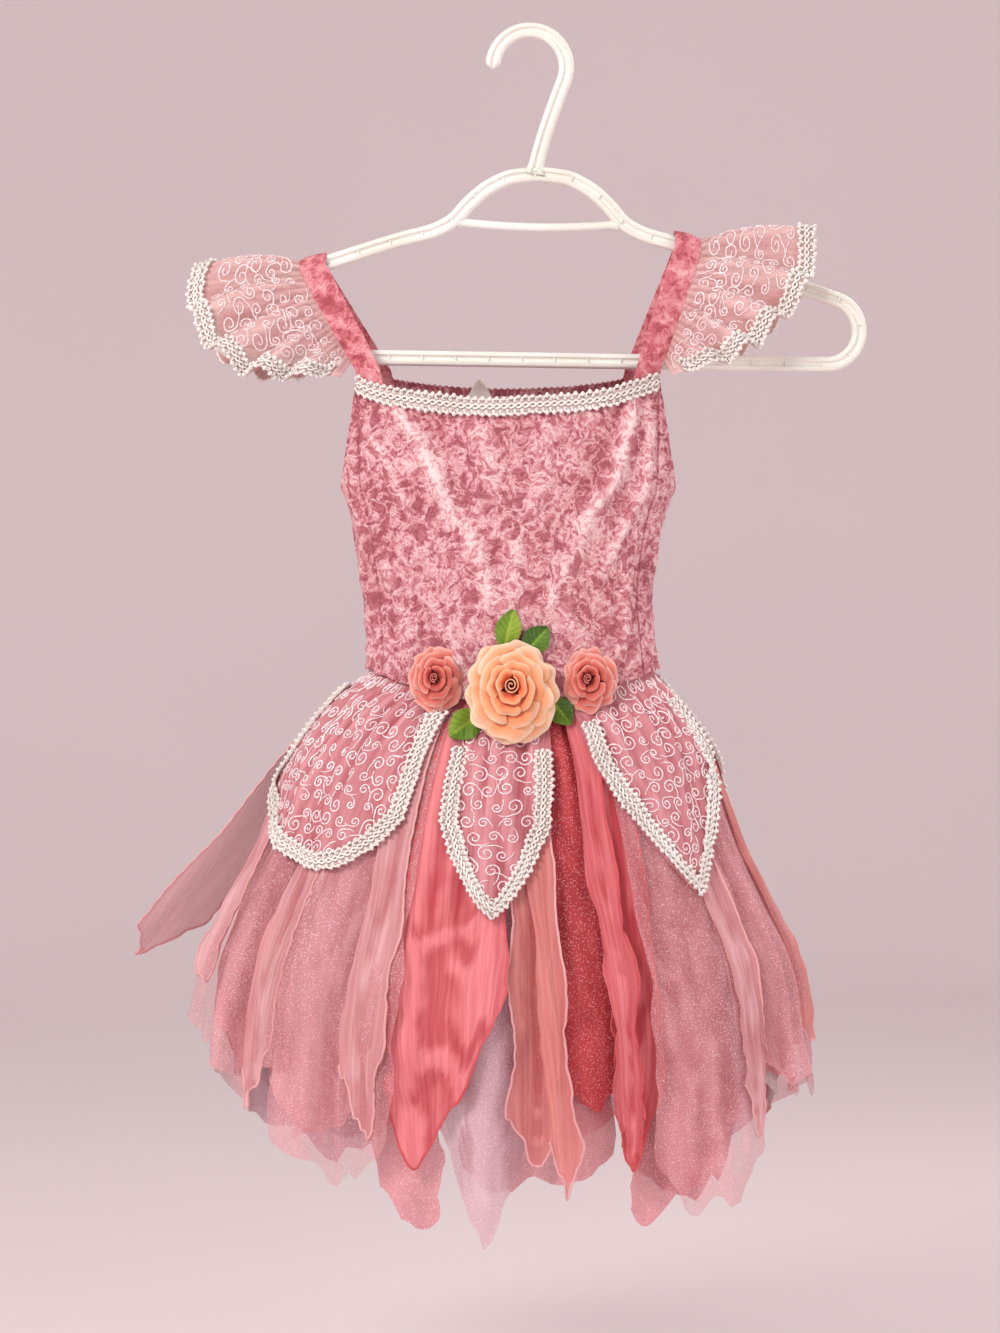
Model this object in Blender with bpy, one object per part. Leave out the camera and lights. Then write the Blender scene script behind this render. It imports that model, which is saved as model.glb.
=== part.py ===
"""A child's fairy costume hanging on a plastic clothes hanger.

Blender 4.5. Run with: blender --background --python part.py

Frame: metres, +Z up, X to the viewer's right, the costume's front faces -Y. The origin is the inner top
of the hanger's hook, where it sits on a rail. Left and right in the names are the viewer's. Sizes below are
millimetres and degrees. An angle round the body is 0 at the front centre, +90 at the right side seam and 180
at the back centre.
"""

import math

import bpy
import numpy as np

MM = 0.001
SEAM_GAP = 0.35

# Hanger
HANGER_TILT = 0.9
HANGER_CENTRE_X = 7.0
HANGER_HALF_WIDTH = 208.0
HANGER_SECTION_HEIGHT = 9.5
HANGER_SECTION_DEPTH = 8.0
HANGER_SECTION_SIDES = 8
HOOK_RADIUS = 23.2
HOOK_STEM_LEAN = 19.7
HOOK_TIP_DROP = 1.6
END_LOOP_RADIUS = 21.0
BAR_Z = -202.9
ARM_SLOPE = 18.5
HOOK_FOOT_OFFSET = 3.0
ACCESSORY_BAR_DIAMETER = 5.6
ACCESSORY_BAR_HALF_LENGTH = 50.5
ACCESSORY_BAR_Z = -119.5
ACCESSORY_BAR_RISE = 2.6
# Half of the arch and the start of the arm: distance from the middle, height
ARCH = (
    (0.0, -86.0),
    (15.8, -87.6),
    (31.5, -94.5),
    (43.5, -104.6),
    (54.8, -116.8),
    (67.0, -123.0),
    (84.4, -127.8),
    (132.0, -143.6),
)

# Bodice: height, half width, half depth, middle
BODICE = (
    (-205.0, 106.0, 26.0, -13.9),
    (-260.0, 105.0, 28.0, -13.9),
    (-284.0, 104.0, 30.0, -13.6),
    (-300.0, 98.5, 31.0, -13.9),
    (-320.0, 94.5, 32.0, -14.4),
    (-357.0, 90.0, 32.0, -13.8),
    (-382.0, 90.4, 31.0, -11.5),
    (-397.0, 91.3, 31.0, -11.0),
    (-425.0, 92.0, 31.0, -11.0),
)
VELVET = 1.6
BODICE_ROWS = 6
PRINCESS_ANGLE = 63.0
# Distance of the princess seams from the body's middle line, which turns their gap into an angle
SEAM_RADIUS = 45.0
NECK_CORNER_Z = -212.3
NECK_SAG = 16.4
NECK_TILT = 1.3
BACK_CORNER_Z = -206.7
BACK_SAG = 12.0
UNDERARM_Z = -284.0
BACK_GATHERS = 14
BACK_GATHER_DEPTH = 0.9
ARMHOLE_POWER = 0.85
DRAPE_FOLD_TOP = (68.0, -226.0)
DRAPE_FOLD_FOOT = (30.0, -345.0)
DRAPE_FOLD_HEIGHT = 2.2
DRAPE_FOLD_WIDTH = 10.0

# Waist seam
WAIST_Z = -397.0
WAIST_FRONT_DIP = 21.0
WAIST_BACK_DIP = 6.0

# Skirt: drop below the waist seam, half width, half depth, middle
SKIRT = (
    (-6.0, 89.1, 29.2, -11.0),
    (0.5, 89.1, 29.2, -11.0),
    (7.0, 95.0, 31.5, -12.6),
    (18.0, 107.0, 38.0, -15.0),
    (48.0, 129.0, 51.0, -16.5),
    (75.0, 141.0, 59.0, -18.0),
    (105.0, 152.0, 68.0, -18.0),
    (149.0, 169.0, 80.0, -18.5),
    (186.0, 181.0, 88.0, -18.5),
    (224.0, 187.0, 94.0, -18.0),
    (275.0, 190.0, 98.0, -18.0),
    (365.0, 193.0, 102.0, -18.0),
)
SHEER = 1.0
LAYER_PITCH_AT_WAIST = 1.5
LAYER_PITCH_AT_HEM = 6.5
LAYER_PITCH_POWER = 0.55
# Drops at which every layer has a row of corners. Between them the cloth runs straight, so that layers nest.
LEVELS = (-5.0, 0.5, 12.0, 36.0, 75.0, 125.0, 185.0, 250.0, 310.0, 365.0)
HEM_DROP = 330.0
FOLDS_ROUND = 16
FOLD_DEPTH_AT_HEM = 9.0
DEGREES_PER_COLUMN = (3.75, 4.5, 4.5, 5.6)

# Every hanging panel. layer 0 is the printed overskirt, 1 the edged organza, 2 the net, 3 the inner net.
# top and foot: the middle of the panel at the waist and at its hem. half_top, half_foot: its half width.
# tip: the drop of its lowest point. tip_at: where that is across, -1 to 1. left, right: the share of the
# tip's drop at those edges. power: 1 for a pointed hem, 2 for a round one, 4 for a nearly straight one.
PANEL_COLUMNS = (
    "name", "layer", "top", "half_top", "foot", "half_foot", "tip", "tip_at", "left", "right", "power",
)
PANELS = (
    ("petal_left", 0, -58, 36, -60, 33, 114, 0.38, 0.62, 0.66, 1.9),
    ("petal_front", 0, -1, 16, -2, 12.5, 131, 0.0, 0.58, 0.58, 1.5),
    ("petal_right", 0, 54, 30, 52, 22, 131, -0.15, 0.34, 0.42, 1.3),
    ("petal_back_right", 0, 118, 24, 117, 23, 122, 0.1, 0.5, 0.5, 1.7),
    ("petal_back", 0, 167, 21, 167, 20, 130, 0.0, 0.5, 0.5, 1.6),
    ("petal_back_left", 0, 213, 19, 213, 18, 124, 0.0, 0.5, 0.5, 1.6),
    ("organza_wing", 1, -111, 14, -110, 17, 186, 0.1, 0.84, 0.86, 1.2),
    ("organza_pale", 1, -36, 13, -37, 13, 272, -0.1, 0.85, 0.9, 1.5),
    ("organza_coral", 1, -10, 11.5, -11, 10.5, 284, -0.55, 0.86, 0.62, 1.3),
    ("organza_peach", 1, 7, 4.4, 5.5, 4.8, 276, 0.3, 0.9, 0.92, 1.4),
    ("organza_deep_coral", 1, 31, 6.5, 26.5, 5, 290, -0.2, 0.86, 0.84, 1.2),
    ("organza_right", 1, 75, 21, 74, 21, 258, 0.2, 0.83, 0.88, 1.4),
    ("organza_back_right", 1, 130, 20, 130, 21, 270, 0.1, 0.84, 0.84, 1.3),
    ("organza_back", 1, 180, 20, 180, 21, 285, -0.1, 0.84, 0.86, 1.3),
    ("organza_back_left", 1, 218, 15, 218, 15, 262, 0.2, 0.84, 0.84, 1.3),
    ("net_rose_left", 2, -76, 15, -75, 15.5, 254, 0.3, 0.8, 0.9, 1.5),
    ("net_coral_left", 2, -50, 8, -49, 7.5, 210, 0.2, 0.85, 0.85, 1.3),
    ("net_front_left", 2, -28, 11.5, -21, 8.5, 316, 0.9, 0.78, 0.97, 1.6),
    ("net_lavender", 2, -3, 9.5, -2.5, 8.5, 321, -0.1, 0.8, 0.82, 1.5),
    ("net_red", 2, 18, 7.5, 16, 7, 246, 0.1, 0.93, 0.95, 2.0),
    ("net_pink_right", 2, 43, 15, 41, 15, 327, -0.85, 0.97, 0.82, 1.2),
    ("net_right", 2, 76, 14.5, 76, 15, 256, -0.1, 0.85, 0.85, 1.5),
    ("net_back_right", 2, 118, 23, 118, 24, 290, 0.2, 0.86, 0.86, 1.4),
    ("net_back", 2, 170, 24, 170, 25, 305, -0.1, 0.86, 0.86, 1.4),
    ("net_back_left", 2, 225, 27, 224, 26, 286, 0.1, 0.86, 0.86, 1.4),
    ("inner_left", 3, -70, 15, -70, 15, 258, 0.2, 0.86, 0.88, 1.8),
    ("inner_front_left", 3, -39, 14, -38, 14.5, 287, 0.2, 0.88, 0.92, 1.8),
    ("inner_front", 3, 4, 18, 8, 15, 292, -0.2, 0.95, 0.95, 3.0),
    ("inner_front_right", 3, 42, 15, 42, 16, 310, 0.1, 0.9, 0.9, 1.8),
    ("inner_right", 3, 76, 15, 76, 15, 274, 0.1, 0.86, 0.86, 1.6),
    ("inner_back_right", 3, 134, 37, 134, 37, 300, 0.1, 0.88, 0.88, 1.8),
    ("inner_back_left", 3, 226, 37, 226, 37, 296, -0.1, 0.88, 0.88, 1.8),
)
WING_FLARE = 70.0
WING_FLARE_POWER = 1.35
WING_FLARE_FROM = 8.0
WING_FLARE_DROP = 184.0
BACK_PETAL_FLARE = 7.0

# Braid
BRAID_WIDTH = 9.5
BRAID_THICKNESS = 1.4
BRAID_LIFT = 0.9
BRAID_HEM_STATIONS = 17
# Drop at which a petal's braid comes out from under the flowers
BRAID_FROM = {"petal_left": 13.0, "petal_front": 33.0, "petal_right": 21.0}
BRAID_FROM_BEHIND = 9.0

# Straps: the middle of each end on the bodice, and where each crosses the hanger's arm. A strap narrows a
# little where it goes inside the bodice.
STRAP_NARROWS = 0.93
STRAP_CLEARANCE = 0.5
STRAP_WIDTH = 17.0
STRAP_FRONT_OFFSET = 85.5
STRAP_BACK_OFFSET = 79.0
STRAP_BASE_Z = -223.0
STRAP_LEAVES_Z = -209.0
STRAP_RISE_OUT = 3.5
STRAP_TOP_X = {"left": -136.5, "right": 99.0}
STRAP_SLACK = {"left": 0.6, "right": 2.2}
STRAP_RUN_STATIONS = 6
STRAP_TURN_STATIONS = 6

# Sleeve's outer edge, from the foot of the strap to the ridge on top: share of the strap, x, depth in front,
# height
SLEEVE_EDGE = {
    "left": (
        (0.00, -118.0, 18.0, -215.5),
        (0.07, -132.0, 23.0, -214.5),
        (0.15, -153.0, 29.0, -216.0),
        (0.23, -175.0, 30.0, -212.0),
        (0.31, -197.0, 26.0, -199.0),
        (0.38, -209.0, 20.0, -180.0),
        (0.44, -213.5, 12.0, -161.0),
        (0.50, -205.0, 0.0, -142.5),
    ),
    "right": (
        (0.00, 89.0, 18.0, -214.5),
        (0.07, 103.0, 23.0, -210.5),
        (0.15, 122.0, 28.0, -205.0),
        (0.23, 139.0, 30.0, -195.0),
        (0.31, 156.0, 27.0, -180.0),
        (0.38, 170.0, 21.0, -161.0),
        (0.44, 177.0, 12.0, -140.0),
        (0.50, 178.0, 0.0, -118.5),
    ),
}
SLEEVE_RUFFLES = 11
SLEEVE_RUFFLE_DEPTH = 4.0
SLEEVE_PUFF = 5.0
SLEEVE_RUN_STATIONS = 18
SLEEVE_ROWS = 3
SLEEVE_BACK_RAISE = 7.0
SLEEVE_BRAID_SKIP = 3
# The shares of each straight run of the strap, in front and behind, that have no sleeve sewn to them
SLEEVE_STARTS = 0.06
SLEEVE_STOPS = 0.17

# Roses: x and z of the middle, height towards the front, lift off the cloth, petals round the rim and their
# turn
ROSE_COLUMNS = ("name", "x", "z", "half_width", "half_height", "height", "lift", "lobes", "turn")
ROSES = (
    ("rose_peach", -11.3, -412.0, 29.5, 34.5, 20.0, 2.6, 7, 20.0),
    ("rose_coral_left", -58.0, -404.0, 17.6, 21.5, 13.0, 0.6, 6, 0.0),
    ("rose_coral_right", 37.0, -404.5, 18.0, 21.5, 13.0, 0.6, 6, 40.0),
)
ROSE_RINGS = 6
ROSE_SECTORS = 22
ROSE_RIM = 2.6
ROSE_LOBE_DEPTH = 0.09
ROSE_STEP = 2.6
ROSE_SPIRAL_ARMS = 3
ROSE_SPIRAL_PITCH = 3.2

# Leaves: x and z of the foot, direction of the tip (90 is up), height of the cup
LEAF_COLUMNS = ("name", "x", "z", "length", "half_width", "direction", "cup")
LEAVES = (
    ("leaf_top_left", -17.0, -386.0, 25.0, 6.5, 72.0, 1.4),
    ("leaf_top_right", -4.0, -388.0, 21.0, 7.0, 48.0, 1.4),
    ("leaf_low_left", -30.0, -424.0, 24.0, 8.5, 217.0, 1.2),
    ("leaf_low_right", 12.0, -415.0, 20.0, 6.5, -52.0, 1.2),
)
LEAF_THICKNESS = 1.1
LEAF_LIFT = 0.6

# Labels on the inside of the back: name, middle, half width, height above and below the back's top edge,
# share of that width left at the top
LABELS = (
    ("label_folded", -32.0, 12.0, 5.5, 12.0, 0.1),
    ("label_flat", -7.0, 12.0, -5.0, 22.0, 1.0),
)
LABEL_THICKNESS = 1.0

# Colours read by eye: red, green, blue, roughness
FINISHES = {
    "hanger": (0.88, 0.87, 0.80, 0.35),
    "velvet": (0.72, 0.33, 0.40, 0.6),
    "strap": (0.76, 0.27, 0.34, 0.6),
    "print": (0.85, 0.52, 0.58, 0.5),
    "braid": (0.90, 0.86, 0.76, 0.7),
    "peach": (0.96, 0.66, 0.46, 0.6),
    "rose": (0.87, 0.44, 0.38, 0.6),
    "leaf": (0.36, 0.55, 0.08, 0.5),
    "organza_pale": (0.90, 0.62, 0.64, 0.5),
    "organza_coral": (0.86, 0.36, 0.38, 0.5),
    "organza_peach": (0.90, 0.58, 0.54, 0.5),
    "net_rose": (0.80, 0.48, 0.53, 0.5),
    "net_red": (0.80, 0.30, 0.33, 0.5),
    "net_pale": (0.86, 0.68, 0.72, 0.5),
    "label": (0.93, 0.91, 0.84, 0.6),
}


def clear_scene():
    for thing in list(bpy.data.objects):
        bpy.data.objects.remove(thing, do_unlink=True)


def make_finishes():
    """One Principled material for each entry of FINISHES."""
    made = {}
    for name, (red, green, blue, roughness) in FINISHES.items():
        material = bpy.data.materials.new(name)
        material.use_nodes = True
        shader = material.node_tree.nodes["Principled BSDF"]
        shader.inputs["Base Color"].default_value = (red, green, blue, 1.0)
        shader.inputs["Roughness"].default_value = roughness
        shader.inputs["Metallic"].default_value = 0.0
        made[name] = material
    return made


def smooth_table(at, rows, column):
    """Reads one column of a table at the places in its first column, with a curve that never overshoots."""
    table = np.array(rows, float)
    table = table[np.argsort(table[:, 0])]
    known, values = table[:, 0], table[:, column]
    slopes = np.diff(values) / np.diff(known)
    product = slopes[1:] * slopes[:-1]
    inner = np.where(product > 0, 2 * product / (slopes[1:] + slopes[:-1] + 1e-12), 0)
    tangents = np.concatenate([slopes[:1], inner, slopes[-1:]])
    at = np.clip(at, known[0], known[-1])
    span = np.clip(np.searchsorted(known, at) - 1, 0, len(known) - 2)
    width = known[span + 1] - known[span]
    t = (at - known[span]) / width
    return (
        values[span] * (1 + 2 * t) * (1 - t) ** 2
        + values[span + 1] * t * t * (3 - 2 * t)
        + tangents[span] * width * t * (1 - t) ** 2
        - tangents[span + 1] * width * t * t * (1 - t)
    )


def unit(vectors):
    return vectors / np.maximum(np.linalg.norm(vectors, axis=-1, keepdims=True), 1e-9)


def finish_mesh(name, points, faces, material):
    """Makes the object, with its faces pointing out."""
    points = np.asarray(points, float).reshape(-1, 3)
    volume = 0.0
    for face in faces:
        for second, third in zip(face[1:-1], face[2:]):
            volume += np.dot(points[face[0]], np.cross(points[second], points[third]))
    if volume < 0:
        faces = [tuple(reversed(face)) for face in faces]
    mesh = bpy.data.meshes.new(name)
    mesh.from_pydata((points * MM).tolist(), [], faces)
    mesh.materials.append(material)
    mesh.shade_smooth()
    mesh.set_sharp_from_angle(angle=math.radians(50))
    made = bpy.data.objects.new(name, mesh)
    bpy.context.scene.collection.objects.link(made)
    return made


def wall(name, outer, inner, material):
    """A closed wall between two grids of points, joined round their four edges."""
    rows, columns = outer.shape[:2]
    count = rows * columns

    def corner(row, column, side):
        return side * count + row * columns + column

    faces = []
    for row in range(rows - 1):
        for column in range(columns - 1):
            ring = [(row, column), (row, column + 1), (row + 1, column + 1), (row + 1, column)]
            for half in (ring[:3], ring[:1] + ring[2:]):
                faces.append(tuple(corner(r, c, 0) for r, c in half))
                faces.append(tuple(corner(r, c, 1) for r, c in reversed(half)))
    rim = [(0, c) for c in range(columns)]
    rim += [(r, columns - 1) for r in range(1, rows)]
    rim += [(rows - 1, c) for c in range(columns - 2, -1, -1)]
    rim += [(r, 0) for r in range(rows - 2, 0, -1)]
    for (r0, c0), (r1, c1) in zip(rim, rim[1:] + rim[:1]):
        faces.append((corner(r1, c1, 0), corner(r0, c0, 0), corner(r0, c0, 1), corner(r1, c1, 1)))
    points = np.concatenate([outer.reshape(-1, 3), inner.reshape(-1, 3)])
    return finish_mesh(name, points, faces, material)


def moved_out(surface, angle, down, distance):
    """Points of surface(angle, down), moved out of the body along its own normal."""
    step = 0.05
    across = surface(angle + step, down) - surface(angle - step, down)
    along = surface(angle, down + step) - surface(angle, down - step)
    return surface(angle, down) + unit(np.cross(along, across)) * np.asarray(distance)[..., None]


def wall_on(name, surface, angle, down, lift, thickness, material):
    """A wall of that thickness whose middle lies lift off the surface."""
    middle = np.broadcast_to(np.asarray(lift, float), angle.shape)
    outer = moved_out(surface, angle, down, middle + thickness / 2)
    inner = moved_out(surface, angle, down, middle - thickness / 2)
    return wall(name, outer, inner, material)


def sweep(path, half_width, half_height, closed, sides):
    """Points and faces of a rounded bar along a path that lies in a plane of constant Y."""
    path = np.asarray(path, float)
    count = len(path)
    if closed:
        along = unit(np.roll(path, -1, axis=0) - np.roll(path, 1, axis=0))
    else:
        along = unit(np.gradient(path, axis=0))
    normal = np.stack([-along[:, 2], np.zeros(count), along[:, 0]], axis=1)
    depth = np.array([0.0, 1.0, 0.0])
    points = []
    for index in range(sides):
        turn = 2 * math.pi * (index + 0.5) / sides
        reach = (abs(math.cos(turn)) ** 4 + abs(math.sin(turn)) ** 4) ** -0.25
        up = normal * half_height * math.sin(turn)
        points.append(path + (up + depth * half_width * math.cos(turn)) * reach)
    points = np.stack(points, axis=1)
    faces = []
    for row in range(count if closed else count - 1):
        following = (row + 1) % count
        for index in range(sides):
            beside = (index + 1) % sides
            near, far = row * sides, following * sides
            faces.append((near + index, near + beside, far + beside, far + index))
    if not closed:
        faces.append(tuple(reversed(range(sides))))
        faces.append(tuple((count - 1) * sides + index for index in range(sides)))
    return points.reshape(-1, 3), faces


def tilted(points):
    """The hanger hangs a little low on its right: turned about the hook's inner top."""
    points = np.array(points, float)
    cosine, sine = math.cos(math.radians(HANGER_TILT)), math.sin(math.radians(HANGER_TILT))
    x, z = points[..., 0].copy(), points[..., 2].copy()
    points[..., 0] = x * cosine + z * sine
    points[..., 2] = z * cosine - x * sine
    return points


def hanger_loop():
    """The closed middle line of the hanger's body: arch, arm, round end and bottom bar, on both sides."""
    half = np.array(ARCH)
    distance = np.array([0, 7, 14, 21, 28, 35, 42, 49, 56, 64, 74, 84.4, 110, 132])
    arch = np.stack([distance, smooth_table(distance, half, 1)], axis=1)
    centre_x = HANGER_HALF_WIDTH - HANGER_SECTION_HEIGHT / 2 - END_LOOP_RADIUS
    centre_z = BAR_Z + END_LOOP_RADIUS
    turn = np.radians(np.linspace(90 - ARM_SLOPE, -90, 13))
    end = END_LOOP_RADIUS * np.stack([np.cos(turn), np.sin(turn)], axis=1) + (centre_x, centre_z)
    bar = np.array([[x, BAR_Z] for x in (130.0, 70.0)])
    right = np.concatenate([arch, end, bar, [[0.0, BAR_Z]]])
    left = right[1:-1][::-1] * (-1, 1)
    flat = np.concatenate([right, left])
    return np.stack([flat[:, 0] + HANGER_CENTRE_X, np.zeros(len(flat)), flat[:, 1]], axis=1)


def arm_place(x):
    """Height of the hanger's arm and its slope there, after the tilt. x is in the frame."""
    loop = tilted(hanger_loop())
    top = loop[loop[:, 2] > BAR_Z + END_LOOP_RADIUS]
    top = top[np.argsort(top[:, 0])]
    height = np.interp(x, top[:, 0], top[:, 2])
    beside = np.interp(x + 1.0, top[:, 0], top[:, 2])
    return height, math.atan(beside - height)


def make_hanger(material):
    half_height, half_depth = HANGER_SECTION_HEIGHT / 2, HANGER_SECTION_DEPTH / 2
    body = finish_mesh("hanger", *swept_hanger(hanger_loop(), half_depth, half_height, True), material)
    turn = np.radians(np.linspace(180, -HOOK_STEM_LEAN, 15))
    centre_z = -(HOOK_RADIUS - half_height)
    arc = np.stack([HOOK_RADIUS * np.cos(turn), np.zeros(15), centre_z + HOOK_RADIUS * np.sin(turn)], axis=1)
    tip = arc[:1] + (0, 0, -HOOK_TIP_DROP)
    lean = math.radians(HOOK_STEM_LEAN)
    length = (arc[-1, 2] - ARCH[0][1]) / math.cos(lean)
    run = np.array([0.45, 0.9])[:, None] * length
    stem = arc[-1] + run * np.array([-math.sin(lean), 0, -math.cos(lean)])
    foot = np.array([[HANGER_CENTRE_X - HOOK_FOOT_OFFSET, 0, ARCH[0][1] - 0.5]])
    hook = np.concatenate([tip, arc, stem, foot])
    side = np.linspace(-1, 1, 7)
    height = ACCESSORY_BAR_Z + ACCESSORY_BAR_RISE * side**2
    bar = np.stack([side * ACCESSORY_BAR_HALF_LENGTH + HANGER_CENTRE_X, np.zeros(7), height], axis=1)
    thin = ACCESSORY_BAR_DIAMETER / 2
    # the hook is a hair thinner than the body, so that no faces of the two lie in one plane
    extras = (("hook", hook, half_depth * 0.97, half_height), ("bar", bar, thin, thin))
    for name, path, depth, height in extras:
        extra = finish_mesh("hanger_" + name, *swept_hanger(path, depth, height, False), material)
        extra.hide_render = True
        extra.display_type = "WIRE"
        joined = body.modifiers.new("join_" + name, "BOOLEAN")
        joined.operation = "UNION"
        joined.solver = "EXACT"
        joined.object = extra


def swept_hanger(path, half_depth, half_height, closed):
    points, faces = sweep(path, half_depth, half_height, closed, HANGER_SECTION_SIDES)
    return tilted(points), faces


def bodice_point(angle, down):
    """The middle of the velvet wall. down is the depth below the origin."""
    height = -down
    turn = np.radians(angle)
    half_width = smooth_table(height, BODICE, 1)
    half_depth = smooth_table(height, BODICE, 2)
    middle = smooth_table(height, BODICE, 3)
    x = half_width * np.sin(turn)
    front = np.clip(np.cos(turn) * 4, 0, 1)
    share = (height - DRAPE_FOLD_TOP[1]) / (DRAPE_FOLD_FOOT[1] - DRAPE_FOLD_TOP[1])
    crest = DRAPE_FOLD_TOP[0] + (DRAPE_FOLD_FOOT[0] - DRAPE_FOLD_TOP[0]) * share
    fade = np.exp(-np.clip(share - 0.8, 0, None) ** 2 * 18) * np.clip(share * 8 + 0.4, 0, 1)
    fold = DRAPE_FOLD_HEIGHT * fade * np.exp(-(((np.abs(x) - crest) / DRAPE_FOLD_WIDTH) ** 2))
    y = -half_depth * np.cos(turn) - fold * front
    return np.stack([x + middle, y, np.broadcast_to(height, x.shape)], axis=-1)


def neckline_z(angle):
    """Top edge of the front, which sags between the straps."""
    share = np.clip(angle / PRINCESS_ANGLE, -1, 1)
    return NECK_CORNER_Z - NECK_SAG * (1 - share**2) + NECK_TILT * np.sin(np.radians(angle))


def back_edge_z(angle):
    """Top edge of the back, which sags between the straps."""
    share = np.clip((angle - 180) / (180 - 117), -1, 1)
    return BACK_CORNER_Z - BACK_SAG * (1 - share**2)


def armhole_z(angle):
    """Top edge of a side piece: from the front corner down to the underarm and up to the back corner."""
    turned = np.abs(angle)
    share = np.clip(np.abs(turned - 90) / (90 - PRINCESS_ANGLE), 0, 1)
    corner = np.where(turned < 90, neckline_z(np.sign(angle) * PRINCESS_ANGLE), BACK_CORNER_Z)
    return corner + (UNDERARM_Z - corner) * np.sin(math.pi / 2 * (1 - share)) ** ARMHOLE_POWER


def waist_z(angle):
    cosine = np.cos(np.radians(angle))
    return WAIST_Z - np.where(cosine > 0, WAIST_FRONT_DIP, WAIST_BACK_DIP) * cosine**2


def bodice_grid(start, end, columns, top):
    """Angles and depths of one piece, which stops half of SEAM_GAP short of each seam."""
    trim = math.degrees(SEAM_GAP / 2 / SEAM_RADIUS)
    angles = np.linspace(start + trim, end - trim, columns + 1)
    shares = np.linspace(0, 1, BODICE_ROWS + 1)
    angle = np.broadcast_to(angles, (BODICE_ROWS + 1, columns + 1))
    upper, lower = top(angle), waist_z(angle)
    height = upper + (lower - upper) * shares[:, None]
    return angle, -height


def make_bodice(material):
    angle, down = bodice_grid(-PRINCESS_ANGLE, PRINCESS_ANGLE, 18, neckline_z)
    wall_on("bodice_front", bodice_point, angle, down, 0, VELVET, material)
    for name, flip in (("bodice_side_right", 1), ("bodice_side_left", -1)):
        start, end = sorted((flip * PRINCESS_ANGLE, flip * (180 - PRINCESS_ANGLE)))
        angle, down = bodice_grid(start, end, 10, armhole_z)
        wall_on(name, bodice_point, angle, down, 0, VELVET, material)
    angle, down = bodice_grid(180 - PRINCESS_ANGLE, 180 + PRINCESS_ANGLE, 2 * BACK_GATHERS, back_edge_z)
    inner = moved_out(bodice_point, angle, down, np.full(angle.shape, -VELVET / 2))
    ridge = BACK_GATHER_DEPTH * (np.arange(angle.shape[1]) % 2)
    outer = moved_out(bodice_point, angle, down, VELVET / 2 + np.broadcast_to(ridge, angle.shape))
    wall("bodice_back", outer, inner, material)


def make_neck_braid(material):
    angles = np.linspace(-PRINCESS_ANGLE + 0.5, PRINCESS_ANGLE - 0.5, 25)
    angle = np.broadcast_to(angles, (3, 25))
    down = -neckline_z(angle) + 1.6 + np.linspace(0, BRAID_WIDTH, 3)[:, None]
    lift = VELVET / 2 + BRAID_LIFT + BRAID_THICKNESS / 2
    wall_on("braid_neckline", bodice_point, angle, down, lift, BRAID_THICKNESS, material)


def fold(angle, drop):
    """Outward depth of the skirt's folds, which every layer shares so that they nest."""
    turn = np.radians(angle)
    warped = turn + 0.05 * np.sin(3 * turn + 1.0) + 0.03 * np.sin(5 * turn)
    share = np.clip(drop / HEM_DROP, 0, 1.1)
    depth = FOLD_DEPTH_AT_HEM * share**1.15
    drift = 0.5 * np.sin(2 * turn + 0.7) * share
    return depth * (0.78 * np.cos(FOLDS_ROUND * warped + drift) + 0.22 * np.cos(9 * warped + 1.3))


def flare_share(drop):
    """How much of its sideways flare a piece has at that drop."""
    return np.clip((drop - WING_FLARE_FROM) / WING_FLARE_DROP, 0, None) ** WING_FLARE_POWER


def skirt_surface(layer, flare=0.0):
    """The middle of one layer, as a function of the angle and the drop below the waist seam."""
    levels = np.array(LEVELS)

    def at_level(angle, drop):
        turn = np.radians(angle)
        share = np.clip(drop / HEM_DROP, 0, 1)
        more = (LAYER_PITCH_AT_HEM - LAYER_PITCH_AT_WAIST) * share**LAYER_PITCH_POWER
        outward = fold(angle, drop) - layer * (LAYER_PITCH_AT_WAIST + more)
        half_width = smooth_table(drop, SKIRT, 1) + outward
        half_depth = smooth_table(drop, SKIRT, 2) + outward
        middle = smooth_table(drop, SKIRT, 3)
        sideways = flare * flare_share(drop)
        x = middle + half_width * np.sin(turn) + sideways
        return np.stack([x, -half_depth * np.cos(turn), waist_z(angle) - drop], axis=-1)

    def point(angle, drop):
        angle, drop = np.broadcast_arrays(np.asarray(angle, float), np.asarray(drop, float))
        band = np.clip(np.searchsorted(levels, drop, side="right") - 1, 0, len(levels) - 2)
        upper, lower = levels[band], levels[band + 1]
        share = ((drop - upper) / (lower - upper))[..., None]
        return at_level(angle, upper) * (1 - share) + at_level(angle, lower) * share

    return point


def panel_surface(panel):
    """The surface that a panel lies on. The wing and the petal behind the right side stand out further."""
    if panel["name"] == "organza_wing":
        return skirt_surface(panel["layer"], -WING_FLARE)
    if panel["name"] == "petal_back_right":
        return skirt_surface(panel["layer"], BACK_PETAL_FLARE)
    return skirt_surface(panel["layer"])


def hem_drop(panel, across):
    """Drop of the panel's lower edge. across runs from -1 at the left edge to 1 at the right one."""
    left = np.clip((panel["tip_at"] - across) / (panel["tip_at"] + 1), 0, 1)
    right = np.clip((across - panel["tip_at"]) / (1 - panel["tip_at"]), 0, 1)
    lost = (1 - panel["left"]) * left ** panel["power"] + (1 - panel["right"]) * right ** panel["power"]
    return panel["tip"] * (1 - lost)


def panel_angle(panel, across, drop):
    share = np.clip(drop / panel["tip"], 0, 1)
    middle = panel["top"] + (panel["foot"] - panel["top"]) * share
    return middle + (panel["half_top"] + (panel["half_foot"] - panel["half_top"]) * share) * across


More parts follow.
